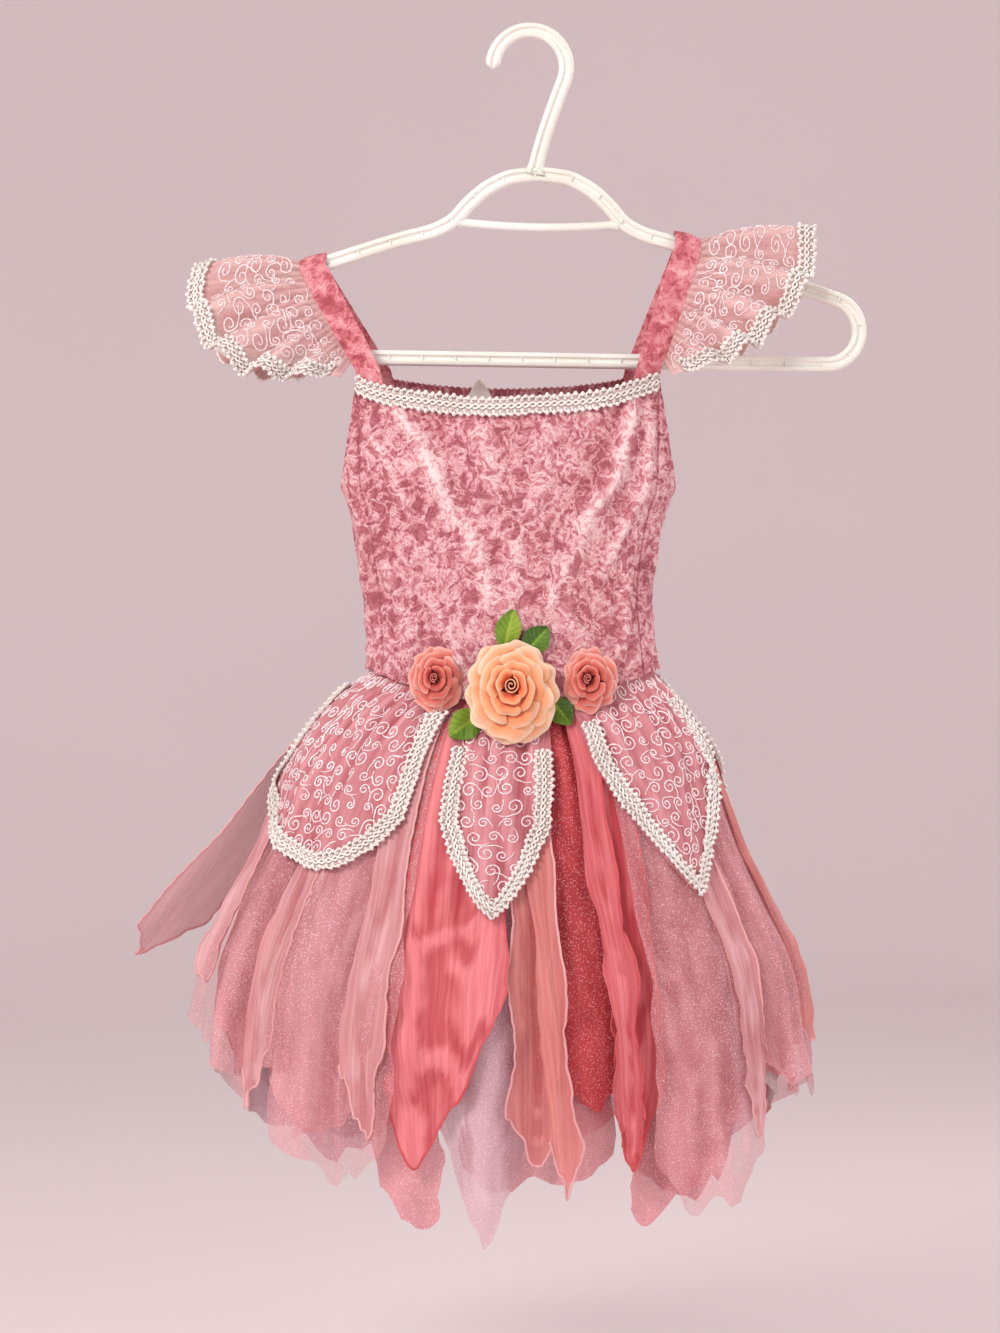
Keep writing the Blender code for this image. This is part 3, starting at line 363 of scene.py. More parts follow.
def crushedVelvet(name, deep, middle, pale, crush):
    # pile lying both ways: folded noise gives a painted sheen, a pale crackled net over a deep ground, and
    # the tone attribute paints highlights on the crests and shade in the hollows
    finish = Finish(name, Sheen_Weight=0.25, Sheen_Roughness=0.3, Sheen_Tint=(1.0, 0.8, 0.82, 1.0),
                    Specular_IOR_Level=0.35)
    place = finish.place(onCloth=False)
    warp = finish.node("ShaderNodeTexNoise", {}, {"Vector": place, "Scale": 90.0, "Detail": 3.0}, "Color")
    moved = finish.node("ShaderNodeVectorMath", {"operation": "MULTIPLY_ADD"}, (warp, (0.012,) * 3, place))
    coarse = finish.noise(moved, 105.0, 3.0, 0.7)
    fine = finish.noise(moved, 260.0, 4.0, 1.0)
    crackle = (1 - abs(coarse - 0.5) * 7.5).kept()
    threads = (1 - abs(fine - 0.5) * 6.5).kept()
    # painted sheen: the pale net stands in for light caught by the pile
    sheen = (crackle * 0.55 + threads * 0.5 - 0.2).kept() * crush
    patch = finish.noise(place, 20.0, 3.0)
    # the tone attribute adds painted highlights and painted shade
    light = (sheen + (patch - 0.5) * 0.5 + (finish.tone() - 0.5) * 0.75).kept()
    colour = finish.ramp(light, (0.0, deep), (0.3, middle), (0.95, pale))
    rough = 0.8 - light * 0.34
    pile = finish.noise(place, 1400.0, 2.0)
    relief = finish.relief(coarse * 0.7 + fine * 0.3 + pile * 0.1, 0.0018, 0.85)
    return finish.wear(Base_Color=colour, Roughness=rough, Normal=relief)


def organza(name, deep, pale, cover, spread=0.22):
    # a sheer weave: fine streaks along the cloth over long soft crumples, thicker looking where it is
    # creased; the tone attribute paints highlights on the crests and shade in the hollows
    finish = Finish(name, Specular_IOR_Level=0.3, Sheen_Weight=0.15, Sheen_Roughness=0.4)
    streaks = finish.noise(finish.place((1.0, 0.05, 1.0)), 230.0, 2.0, 0.2, True)
    crumple = finish.noise(finish.place((1.0, 0.3, 1.0)), 36.0, 3.0, 0.5, True)
    # the tone attribute adds painted highlights and painted shade
    light = ((streaks - 0.5) * 0.75 + (crumple - 0.5) * 0.5 + 0.5 + (finish.tone() - 0.5) * 0.85).kept()
    colour = finish.ramp(light, (0.05, deep), (0.95, pale))
    alpha = (cover + (light - 0.5) * spread).kept()
    relief = finish.relief(crumple + streaks * 0.3, 0.0018, 0.45)
    return finish.wear(Base_Color=colour, Alpha=alpha, Roughness=0.66 - light * 0.14, Normal=relief)


def glitterNet(name, deep, pale, cover, spark=(0.98, 0.80, 0.80)):
    # net too fine to draw hole by hole, cloudy where it is doubled, with glitter specks stuck on it, their
    # pale colour partly painted sparkle
    finish = Finish(name, Specular_IOR_Level=0.4)
    place = finish.place()
    cloud = finish.noise(finish.place((1.0, 0.25, 1.0)), 42.0, 3.0, 0.5, True)
    # the tone attribute adds painted highlights on the crests and painted shade in the hollows
    light = ((cloud - 0.5) * 0.85 + 0.5 + (finish.tone() - 0.5) * 0.85).kept()
    colour = finish.ramp(light, (0.05, deep), (0.95, pale))
    specks = finish.cells(place, 920.0, True)
    flake = (finish.red(specks.other("Color")) - 0.58).kept() * 2.3
    glitter = (((0.36 - specks) * 8.0).kept() * flake).kept()
    alpha = (cover + (light - 0.5) * 0.3 + glitter * 0.42).kept()
    # the specks are mixed towards spark: the glitter's own colour with a painted glint
    colour = finish.mix(glitter * 0.9, colour, spark)
    return finish.wear(Base_Color=colour, Alpha=alpha, Roughness=0.6 - glitter * 0.4)


def glitterPaint():
    # glitter print, its flakes pink to white at random; the faint glow in their own colour is painted sparkle
    finish = Finish("scrollGlitter", Emission_Strength=0.04)
    place = finish.place(onCloth=False)
    flake = finish.red(finish.cells(place, 1300.0).other("Color"))
    pinks = (0.0, (0.74, 0.46, 0.5)), (0.45, (0.92, 0.75, 0.77)), (1.0, (1.0, 0.96, 0.96))
    colour = finish.ramp(flake, *pinks)
    relief = finish.relief(flake, 0.0008, 0.8)
    return finish.wear(Base_Color=colour, Emission_Color=colour, Roughness=0.6 - flake * 0.4, Normal=relief)


def gimpCord():
    # cream viscose cord, a little shiny, twisted along its length
    finish = Finish("gimpCord", Sheen_Weight=0.2, Sheen_Roughness=0.4)
    twist = finish.noise(finish.place((3.0, 1.0, 1.0)), 1300.0, 2.0)
    stain = finish.noise(finish.place(onCloth=False), 28.0, 3.0)
    colour = finish.ramp(stain * 0.6 + twist * 0.4, (0.28, (0.80, 0.73, 0.66)), (0.55, (0.96, 0.93, 0.89)))
    # painted shade: where the tone attribute is low, on the tape and a little on the loops, the colour goes
    # towards a greyish pink as if under the cords
    colour = finish.mix(finish.tone(), (0.74, 0.60, 0.54), colour)
    relief = finish.relief(twist, 0.0007, 0.7)
    return finish.wear(Base_Color=colour, Roughness=0.72 - twist * 0.2, Normal=relief)


def petalFoam(name, deep, middle, rim):
    # foam petals, deeper in colour near the heart and paler along the rim
    finish = Finish(name, Subsurface_Weight=0.15, Subsurface_Scale=0.004, Sheen_Weight=0.25)
    tone = finish.tone()
    blotch = finish.noise(finish.place(onCloth=False), 130.0, 3.0)
    colour = finish.ramp(tone + (blotch - 0.5) * 0.25, (0.1, deep), (0.5, middle), (0.95, rim))
    grain = finish.noise(finish.place(onCloth=False), 900.0, 3.0)
    relief = finish.relief(grain, 0.0006, 0.5)
    return finish.wear(Base_Color=colour, Roughness=0.62 + blotch * 0.2, Normal=relief)


def leafCloth():
    finish = Finish("leafCloth", Sheen_Weight=0.2)
    tone = finish.tone()
    blotch = finish.noise(finish.place(onCloth=False), 240.0, 3.0)
    greens = (0.0, (0.025, 0.09, 0.004)), (0.5, (0.12, 0.25, 0.008)), (1.0, (0.33, 0.46, 0.03))
    colour = finish.ramp(tone + (blotch - 0.5) * 0.35, *greens)
    weave = finish.noise(finish.place(onCloth=False), 1600.0, 1.0)
    relief = finish.relief(weave, 0.0004, 0.4)
    return finish.wear(Base_Color=colour, Roughness=0.5 + blotch * 0.2, Normal=relief)


def hangerPlastic():
    finish = Finish("hangerPlastic", Subsurface_Weight=0.12, Subsurface_Scale=0.006, Specular_IOR_Level=0.5)
    place = finish.place(onCloth=False)
    cloud = finish.noise(place, 14.0, 4.0)
    scuff = finish.noise(finish.place((1.0, 1.0, 5.0), False), 160.0, 4.0, 0.6)
    colour = finish.ramp(cloud + (scuff - 0.5) * 0.3, (0.25, (0.76, 0.75, 0.65)), (0.6, (0.88, 0.89, 0.83)))
    relief = finish.relief(scuff, 0.0004, 0.35)
    return finish.wear(Base_Color=colour, Roughness=0.28 + scuff * 0.25, Normal=relief)


def satinLabel():
    finish = Finish("satinLabel", Sheen_Weight=0.3)
    weave = finish.noise(finish.place((1.0, 5.0, 1.0)), 1100.0, 1.0)
    cloud = finish.noise(finish.place(), 70.0, 3.0)
    colour = finish.ramp(cloud, (0.3, (0.84, 0.80, 0.70)), (0.7, (0.94, 0.92, 0.86)))
    relief = finish.relief(weave, 0.0004, 0.4)
    return finish.wear(Base_Color=colour, Roughness=0.5 - weave * 0.2, Normal=relief)


def studioPaper():
    finish = Finish("studioPaper", Specular_IOR_Level=0.1, Emission_Strength=0.42)
    cloud = finish.noise(finish.place(onCloth=False), 1.5, 2.0)
    colour = finish.ramp(cloud, (0.0, (0.56, 0.47, 0.48)), (1.0, (0.60, 0.51, 0.52)))
    return finish.wear(Base_Color=colour, Emission_Color=colour, Roughness=0.85 + cloud * 0.1)


# each finish and the part's material slot that it shows
finishes = {
    "bodice": (crushedVelvet("crushedVelvet", (0.34, 0.085, 0.11), (0.57, 0.205, 0.235),
                             (0.94, 0.7, 0.7), 0.95), "velvet"),
    "strap": (crushedVelvet("strapVelvet", (0.38, 0.07, 0.09), (0.6, 0.155, 0.185),
                            (0.86, 0.45, 0.47), 0.75), "strap"),
    "print": (organza("printedOrganza", (0.55, 0.12, 0.15), (0.88, 0.42, 0.45), 0.66), "print"),
    "sleeve": (organza("sleeveOrganza", (0.6, 0.24, 0.24), (0.95, 0.66, 0.63), 0.4, 0.5), "print"),
    "scroll": (glitterPaint(), "print"),
    "gimp": (gimpCord(), "braid"),
    "peach": (petalFoam("peachFoam", (0.8, 0.14, 0.04), (0.92, 0.4, 0.19), (0.98, 0.7, 0.5)), "peach"),
    "rose": (petalFoam("coralFoam", (0.42, 0.03, 0.02), (0.72, 0.16, 0.12), (0.9, 0.45, 0.38)), "rose"),
    "leaf": (leafCloth(), "leaf"),
    "hanger": (hangerPlastic(), "hanger"),
    "label": (satinLabel(), "label"),
    "pale": (organza("paleOrganza", (0.74, 0.27, 0.29), (0.98, 0.62, 0.64), 0.46), "organza_pale"),
    "coral": (organza("coralOrganza", (0.62, 0.065, 0.085), (0.94, 0.29, 0.31), 0.68), "organza_coral"),
    "peachOrganza": (organza("peachOrganza", (0.66, 0.16, 0.15), (0.94, 0.42, 0.38), 0.5), "organza_peach"),
    "roseNet": (glitterNet("roseNet", (0.52, 0.13, 0.16), (0.84, 0.36, 0.39), 0.54), "net_rose"),
    "redNet": (glitterNet("redNet", (0.34, 0.015, 0.025), (0.58, 0.06, 0.07), 0.8,
                          (0.95, 0.5, 0.5)), "net_red"),
    "veil": (glitterNet("sheerVeil", (0.58, 0.18, 0.21), (0.88, 0.44, 0.47), 0.25,
                        (1.0, 0.8, 0.8)), "net_rose"),
    "paleNet": (glitterNet("paleNet", (0.52, 0.24, 0.3), (0.8, 0.55, 0.62), 0.46), "net_pale"),
    "greyNet": (glitterNet("greyNet", (0.46, 0.3, 0.29), (0.72, 0.6, 0.58), 0.48), "net_pale"),
    "edgePale": (organza("paleEdge", (0.86, 0.44, 0.44), (1.0, 0.8, 0.78), 0.95), "organza_pale"),
    "edgeBright": (organza("brightEdge", (0.7, 0.1, 0.11), (0.95, 0.38, 0.36), 0.95), "organza_coral"),
}
print("finishes ready:", len(finishes))


# Hanger: a moulded bar with a groove along both faces and small ribs across the groove

hanger = {
    "tilt": 0.9, "centre": 7.0, "halfWidth": 208.0, "height": 9.5, "depth": 8.0, "hookRadius": 23.2,
    "stemLean": 19.7, "endRadius": 21.0, "barZ": -202.9, "armSlope": 18.5,
    "rodHalf": 50.5, "rodDiameter": 5.6, "rodZ": -119.5, "rodRise": 2.6, "rodFlare": 0.5, "flareFrom": 44.0,
    "grooveHalf": 1.5, "grooveDepth": 1.7, "ribSpacing": 21.0, "ribWidth": 1.3, "ribRise": 0.62,
    "ribSeat": 0.75, "ribReach": 1.1, "barFrom": 150.0, "step": 2.2, "hookStep": 1.6, "tipDrop": 1.6,
    "tipLength": 3.6, "footOffset": 3.0, "footSwell": 0.45, "footLength": 9.0,
    "arch": ((0.0, -86.0), (15.8, -87.6), (31.5, -94.5), (43.5, -104.6), (54.8, -116.8), (67.0, -123.0),
             (84.4, -127.8), (132.0, -143.6)),
}
intoDepth = (0.0, 1.0, 0.0)


def tilted(points):
    # turned clockwise about the hook's inner top
    turn = math.radians(hanger["tilt"])
    x, y, z = np.moveaxis(np.asarray(points, float), -1, 0)
    return np.stack([x * math.cos(turn) + z * math.sin(turn), y, z * math.cos(turn) - x * math.sin(turn)], -1)


def hangerLoop():
    # right half: arch and arm from the table, a round end, the bar; then its mirror image
    reach = np.linspace(0, hanger["arch"][-1][0], 60)
    arch = np.stack([reach, smoothTable(reach, hanger["arch"], 1)], 1)
    radius = hanger["endRadius"]
    centreX = hanger["halfWidth"] - hanger["height"] / 2 - radius
    centreZ = hanger["barZ"] + radius
    turn = np.radians(np.linspace(90 - hanger["armSlope"], -90, 40))
    end = np.stack([centreX + radius * np.cos(turn), centreZ + radius * np.sin(turn)], 1)
    bar = np.stack([np.linspace(hanger["barFrom"], 0, 40), np.full(40, hanger["barZ"])], 1)
    right = np.concatenate([arch, end, bar])
    flat = np.concatenate([right, right[1:-1][::-1] * (-1, 1)])
    return np.stack([flat[:, 0] + hanger["centre"], np.zeros(len(flat)), flat[:, 1]], 1)


def grooved():
    # half the section from the middle of the front groove, up and over to the back; then mirrored below
    h, d = hanger["height"] / 2, hanger["depth"] / 2
    half, deep = hanger["grooveHalf"], hanger["grooveDepth"]
    quarter = [(0.0, -d + deep), (half * 0.6, -d + deep), (half, -d + deep * 0.5), (half * 1.25, -d),
               (h * 0.72, -d * 0.96), (h * 0.93, -d * 0.72), (h, -d * 0.3)]
    top = np.array(quarter + [(a, -b) for a, b in quarter[::-1]])
    below = top[1:-1][::-1] * (-1, 1)
    return np.concatenate([top, below])


def makeHanger():
    loop, _ = resampled(np.concatenate([hangerLoop(), hangerLoop()[:1]]), hanger["step"])
    loop = tilted(loop[:-1])
    half = hanger["height"] / 2
    turn = np.radians(np.linspace(180, -hanger["stemLean"], 60))
    arc = np.stack([hanger["hookRadius"] * np.cos(turn), 0 * turn,
                    -(hanger["hookRadius"] - half) + hanger["hookRadius"] * np.sin(turn)], 1)
    lean = math.radians(hanger["stemLean"])
    foot = np.array([hanger["centre"] - hanger["footOffset"], 0, hanger["arch"][0][1]])
    tip = arc[:1] - (0, 0, hanger["tipDrop"])
    share = np.linspace(0, 1, 24)[1:, None]
    downStem = np.array([-math.sin(lean), 0, -math.cos(lean)])
    straight = arc[-1] + share * (arc[-1, 2] - foot[2]) / math.cos(lean) * downStem
    stem = straight + (foot - straight[-1]) * share**3
    # the hook's tip is rounded, and its stem swells where it meets the arch
    hook, along = resampled(np.concatenate([tip, arc, stem]), hanger["hookStep"])
    end = along[-1] - along
    rounded = np.sqrt(np.clip(along / hanger["tipLength"], 0.02, 1))
    swelling = 1 + hanger["footSwell"] * np.clip(1 - end / hanger["footLength"], 0, 1) ** 2
    sections = grooved() * (rounded * swelling)[:, None, None]
    side = np.linspace(-hanger["rodHalf"], hanger["rodHalf"], 50)
    rise = hanger["rodRise"] * (side / hanger["rodHalf"]) ** 2
    rod = np.stack([side + hanger["centre"], 0 * side, hanger["rodZ"] + rise], 1)
    nearEnd = np.clip((np.abs(side) - hanger["flareFrom"]) / (hanger["rodHalf"] - hanger["flareFrom"]), 0, 1)
    radius = hanger["rodDiameter"] / 2 * (1 + hanger["rodFlare"] * nearEnd**2)
    parts = [profileOf(loop, intoDepth, grooved(), True), profileOf(tilted(hook), intoDepth, sections, False),
             tubeOf(tilted(rod), intoDepth, radius, radius, 14)]
    makePiece("hangerMoulding", joined(parts + hangerRibs(loop)), "hanger", ["hanger"])


def hangerRibs(loop):
    # short cross bars in both grooves, every ribSpacing along the bar and arms
    places, _ = resampled(loop, hanger["ribSpacing"])
    ahead = unit(np.gradient(places, axis=0))
    up = np.stack([-ahead[:, 2], 0 * ahead[:, 0], ahead[:, 0]], 1)
    reach = np.linspace(-1, 1, 4)[None, :, None] * hanger["grooveHalf"] * hanger["ribReach"]
    ribs = []
    for face in (-1, 1):
        seat = places + (0, face * (hanger["depth"] / 2 - hanger["grooveDepth"] * hanger["ribSeat"]), 0)
        path = seat[:, None] + up[:, None] * reach
        rise = hanger["grooveDepth"] * hanger["ribRise"]
        ribs.append(tubeOf(path, (0, face, 0), hanger["ribWidth"] / 2, rise))
    return ribs


def armPlace(x):
    # the arm's height and slope below x
    loop = tilted(hangerLoop())
    top = loop[loop[:, 2] > hanger["barZ"] + hanger["endRadius"]]
    top = top[np.argsort(top[:, 0])]
    height = np.interp(x, top[:, 0], top[:, 2])
    return height, math.atan(np.interp(x + 1.0, top[:, 0], top[:, 2]) - height)


makeHanger()
print("hanger made")


# Bodice: four velvet pieces round an oval body, pulled into folds by the straps

bodice = {
    # height, half width, half depth, middle
    "profile": ((-205.0, 106.0, 26.0, -13.9), (-260.0, 105.0, 28.0, -13.9), (-284.0, 104.0, 30.0, -13.6),
                (-300.0, 98.5, 31.0, -13.9), (-320.0, 94.5, 32.0, -14.4), (-357.0, 90.0, 32.0, -13.8),
                (-382.0, 90.4, 31.0, -11.5), (-397.0, 91.3, 31.0, -11.0), (-425.0, 92.0, 31.0, -11.0)),
    "velvet": 1.3, "seam": 63.0, "neckCorner": -212.3, "neckSag": 16.4, "neckTilt": 1.3, "backCorner": -206.7,
    "backSag": 12.0, "underarm": -284.0, "bandDepth": 9.0, "bandRibs": 58, "midHeight": -320.0,
    "grids": {"front": (124, 108), "side": (40, 72), "backRows": 50},
    # creases: angle, height, angle, height, rise, width
    "frontCreases": (
        (-50, -222, -22, -296, 4.2, 5.0), (-22, -296, -6, -360, 2.6, 5.5), (-58, -246, -38, -306, 2.4, 3.6),
        (-40, -228, -14, -286, -1.6, 5.0), (48, -226, 31, -304, 4.4, 4.6), (31, -304, 14, -362, 2.4, 5.0),
        (58, -236, 42, -334, 2.6, 3.4), (40, -232, 22, -300, -1.6, 5.0), (-14, -236, -4, -286, 1.6, 6.0),
        (12, -238, 8, -306, 1.5, 5.0), (-58, -330, -44, -396, 2.2, 4.0), (56, -338, 45, -396, 2.0, 3.6),
        (-34, -352, -22, -402, 1.5, 4.0), (22, -356, 32, -402, 1.4, 4.0), (-48, -372, -20, -380, 1.0, 2.4),
        (18, -374, 50, -382, 1.0, 2.4), (-40, -388, -12, -398, 0.9, 2.2), (4, -318, -6, -384, 1.6, 5.0),
        (-6, -350, 12, -392, 1.0, 3.0), (14, -330, 34, -352, 1.0, 2.6), (-30, -318, -46, -340, 1.0, 2.6),
    ),
    "backCreases": (
        (126, -222, 150, -292, 2.2, 4.5), (234, -222, 212, -288, 2.4, 4.2), (140, -300, 165, -350, 1.2, 5.0),
        (222, -310, 198, -362, 1.3, 5.0), (172, -236, 176, -300, 0.9, 6.0), (190, -330, 184, -386, 0.9, 5.0),
        (128, -360, 150, -392, 1.1, 3.4), (232, -356, 214, -394, 1.0, 3.6), (160, -376, 200, -384, 0.7, 2.6),
    ),
    "sideCreases": (
        (70, -300, 86, -340, 1.2, 3.0), (104, -296, 92, -350, 1.3, 3.0), (72, -360, 104, -372, 0.9, 2.4),
        (108, -382, 76, -390, 0.8, 2.2),
    ),
}


def bodicePoint(angle, height):
    # an oval section whose half width, half depth and middle follow the profile table
    turn = np.radians(angle)
    wide, deep, middle = (smoothTable(height, bodice["profile"], k) for k in (1, 2, 3))
    return np.stack([wide * np.sin(turn) + middle, -deep * np.cos(turn), height + 0 * turn], -1)


def necklineZ(angle):
    share = np.clip(angle / bodice["seam"], -1, 1)
    tilt = bodice["neckTilt"] * np.sin(np.radians(angle))
    wave = 0.5 * np.sin(np.radians(angle * 9))
    return bodice["neckCorner"] - bodice["neckSag"] * (1 - share**2) + tilt + wave


def backEdgeZ(angle):
    share = np.clip((angle - 180) / bodice["seam"], -1, 1)
    return bodice["backCorner"] - bodice["backSag"] * (1 - share**2)


def armholeZ(angle):
    turned = np.abs(angle)
    share = np.clip(np.abs(turned - 90) / (90 - bodice["seam"]), 0, 1)
    corner = np.where(turned < 90, necklineZ(np.sign(angle) * bodice["seam"]), bodice["backCorner"])
    return corner + (bodice["underarm"] - corner) * np.sin(math.pi / 2 * (1 - share)) ** 0.85


waist = {"z": -397.0, "frontDip": 21.0, "backDip": 6.0, "tuck": 5.0}


def waistZ(angle):
    cosine = np.cos(np.radians(angle))
    return waist["z"] - np.where(cosine > 0, waist["frontDip"], waist["backDip"]) * cosine**2


def girthAt(angle):
    # the velvet's length round the body from the front centre to that angle, at mid height
    turns = np.linspace(-180, 540, 721)
    lengths = travelled(bodicePoint(turns, np.full(721, bodice["midHeight"])), 0)
    return np.interp(angle, turns, lengths - np.interp(0, turns, lengths))


def velvetCrush(girth, height):
    # noise at three sizes, and below the chest a fourth that is drawn out lengthwise
    drawn = np.clip((-300 - height) / 60, 0, 1)
    crush = 0.45 * noise(girth, height, 9, 3) + 0.3 * noise(girth * 1.3, height, 4.5, 4)
    crush = crush + 0.25 * (1 - np.abs(noise(girth, height, 6, 5)) * 2.5)
    return crush + 0.6 * drawn * noise(girth, height * 0.3, 5.5, 6)


def bodiceGrid(start, end, columns, rows, topEdge, creases):
    # the crush over the listed creases, pinched at the side seams, rolled over at the top and the hem
    angle = np.linspace(start + 0.25, end - 0.25, columns)[None, :]
    share = np.linspace(0, 1, rows)[:, None]
    top, foot = topEdge(angle), waistZ(angle) + 0.5 * np.sin(np.radians(angle * 23))
    height = top + (foot - top) * share
    angle = angle + 0 * height
    girth = girthAt(angle)
    crush = velvetCrush(girth, height)
    rise = ridges(girth, height, [(girthAt(a), b, girthAt(c), d, e, f) for a, b, c, d, e, f in creases])
    rise = rise * np.clip((top - height - 6) / 12, 0, 1)
    seam = np.minimum(np.abs(angle - start), np.abs(angle - end))
    pinch = 1 - 0.85 * np.exp(-((seam / 1.2) ** 2))
    rolled = 0.7 * np.exp(-(((height - top) / 3.0) ** 2)) - 0.9 * np.exp(-(((seam - 0.2) / 0.7) ** 2))
    hem = 0.8 * np.exp(-(((height - foot) / 3.5) ** 2))
    middle = bodicePoint(angle, height)
    normal = gridNormals(middle)
    normal = normal * np.sign(np.sum(normal * (middle - (bodice["profile"][0][3], 0, 0)) * (1, 1, 0)))
    # painted highlights on the crush's crests and the creases' ridges, painted shade in the hollows and a
    # line of painted shade along each seam
    tone = np.clip(0.43 + 0.15 * crush + 0.13 * rise - 0.5 * np.exp(-((seam / 1.0) ** 2)), 0, 1)
    middle = middle + normal * ((crush + rise) * pinch + rolled + hem)[..., None]
    return middle, normal, tone, angle, height


def makeBodice():
    seam, grids = bodice["seam"], bodice["grids"]
    otherSide = [(-a, b, -c, d, e, f) for a, b, c, d, e, f in bodice["sideCreases"]]
    rows = (("bodice_front", -seam, seam, *grids["front"], necklineZ, bodice["frontCreases"]),
            ("bodice_side_right", seam, 180 - seam, *grids["side"], armholeZ, bodice["sideCreases"]),
            ("bodice_side_left", seam - 180, -seam, *grids["side"], armholeZ, otherSide))
    for name, *shape in rows:
        middle, normal, tone = bodiceGrid(*shape)[:3]
        piece = makeCloth("velvet_" + name, middle, bodice["velvet"], normal, tone, "bodice", [name])
        if name == "bodice_front":
            front = piece, middle
        else:
            declareSheet(middle)
    # elastic in the top band draws the back into ribs that open out below it
    middle, normal, tone, angle, height = bodiceGrid(
        180 - seam, 180 + seam, bodice["bandRibs"] * 4 + 1, grids["backRows"], backEdgeZ,
        bodice["backCreases"])
    below = np.clip((backEdgeZ(angle) - height) / bodice["bandDepth"], 0, None)
    ribs = np.cos(2 * math.pi * bodice["bandRibs"] * (angle - 180 + seam) / (2 * seam))
    gather = np.where(below < 1, 0.75, 0.75 * np.exp(-(below - 1) * 0.9)) * ribs
    band = 0.8 * np.exp(-(((below - 0.5) / 0.42) ** 4)) - 0.7 * np.exp(-(((below - 1.05) / 0.14) ** 2))
    middle = middle + normal * (gather + band)[..., None]
    middle[0, :, 2] += 0.7 * ribs[0]
    # painted highlights on the ribs' crests and painted shade between them
    tone = np.clip(tone + 0.3 * gather, 0, 1)
    piece = makeCloth("velvet_bodice_back", middle, bodice["velvet"], normal, tone, "bodice", ["bodice_back"])
    declareSheet(middle)
    return front


# Straps: velvet bands from inside the bodice over the hanger's arms

strap = {
    "width": 17.0, "velvet": 1.4, "frontOffset": 85.5, "backOffset": 79.0, "baseZ": -223.0, "leavesZ": -209.0,
    "riseOut": 3.5, "topX": {"left": -136.5, "right": 99.0}, "slack": {"left": 0.6, "right": 2.2},
    "seat": 0.465, "overArm": 1.3, "wrap": (190.0, -10.0), "behindVelvet": 1.9,
    "runStations": 44, "turnStations": 20, "columns": 16, "tailRows": 8,
}


def bodiceInside(side, offset, height, back):
    # a place behind the bodice's wall, offset sideways from the body's middle
    sign = -1 if side == "left" else 1
    angle = np.degrees(np.arcsin(offset / smoothTable(height, bodice["profile"], 1)))
    angle = sign * (180 - angle if back else angle)
    ahead = bodicePoint(angle + 0.5, height) - bodicePoint(angle - 0.5, height)
    down = bodicePoint(angle, height - 1) - bodicePoint(angle, height)
    return bodicePoint(angle, height) - unit(np.cross(down, ahead)) * strap["behindVelvet"]


def strapLine(side, runStations, turnStations):
    # straight from the bodice to the arm, half a turn over it, and straight down to the back
    sign = -1 if side == "left" else 1
    topX = strap["topX"][side]
    armZ, slope = armPlace(topX)
    radius = hanger["height"] / 2 + strap["overArm"] + strap["slack"][side]
    turn = np.radians(np.linspace(*strap["wrap"], turnStations + 1))
    over = np.array([topX, 0, armZ]) + radius * np.stack([0 * turn, np.cos(turn), np.sin(turn)], 1)
    ends = []
    for back, offset in ((False, strap["frontOffset"]), (True, strap["backOffset"])):
        spread = np.array([-1.0, 0.0, 1.0]) * strap["width"] * strap["seat"]
        place = bodiceInside(side, offset + strap["riseOut"] + spread, np.full(3, strap["leavesZ"]), back)
        ends.append((place[1], unit(place[2] - place[0])))
    share = np.linspace(0, 1, runStations, endpoint=False)[:, None]
    front = ends[0][0] + (over[0] - ends[0][0]) * share
    back = (ends[1][0] + (over[-1] - ends[1][0]) * share)[::-1]
    line = np.concatenate([front, over, back])
    level = np.concatenate([share[:, 0], np.ones(len(over)), share[::-1, 0]])[:, None]
    base = np.where(np.arange(len(line))[:, None] < len(line) / 2, ends[0][1], ends[1][1])
    top = np.array([math.cos(slope), 0, math.sin(slope)]) * sign
    across = unit(base * (1 - level) + top * level)
    lengths = travelled(line, 0)
    return line, across, lengths / lengths[-1]


def makeStraps():
    for side in ("left", "right"):
        line, across, share = strapLine(side, strap["runStations"], strap["turnStations"])
        along = unit(np.gradient(line, axis=0))
        normal = unit(np.cross(along, across)) * (1 if side == "left" else -1)
        u = np.linspace(-1, 1, strap["columns"])[:, None]
        crown = 0.5 * (1 - u**4) + 0.35 * noise(u * 9, share * 210, 6, 11 if side == "left" else 12)
        crown = crown - 0.45 * np.exp(-(((np.abs(u) - 0.8) / 0.06) ** 2))
        middle = line + across * (u * strap["width"] / 2)[..., None] + normal * (crown - 0.3)[..., None]
        tails = []
        for back, offset in ((False, strap["frontOffset"]), (True, strap["backOffset"])):
            height = np.linspace(strap["baseZ"], strap["leavesZ"], strap["tailRows"])[None, :] + 0 * u
            rise = strap["riseOut"] * (height - strap["baseZ"]) / (strap["leavesZ"] - strap["baseZ"])
            tails.append(bodiceInside(side, offset + rise + strap["seat"] * strap["width"] * u, height, back))
        middle = np.concatenate([tails[0], middle[:, 1:-1], tails[1][:, ::-1]], 1)
        outward = 1 if np.sum(gridNormals(middle)[:, 20:40] * normal[13:33]) > 0 else -1
        lengths = np.arange(middle.shape[1])[None, :] * 3.0
        tone = np.clip(0.62 + 0.3 * noise(u * 9, lengths, 9, 13) + 0.25 * noise(u * 9, lengths, 4, 14), 0, 1)
        shape = wallOf(middle, strap["velvet"], outward, tone)
        piece = makePiece("strap_velvet_" + side, shape, "strap", ["strap_" + side])
        declareSheet(middle)


makeStraps()
bodiceFront, frontMiddle = makeBodice()
print("bodice and straps made")


# Skirt surfaces: nested ovals that widen from the waist seam, sharing one field of folds

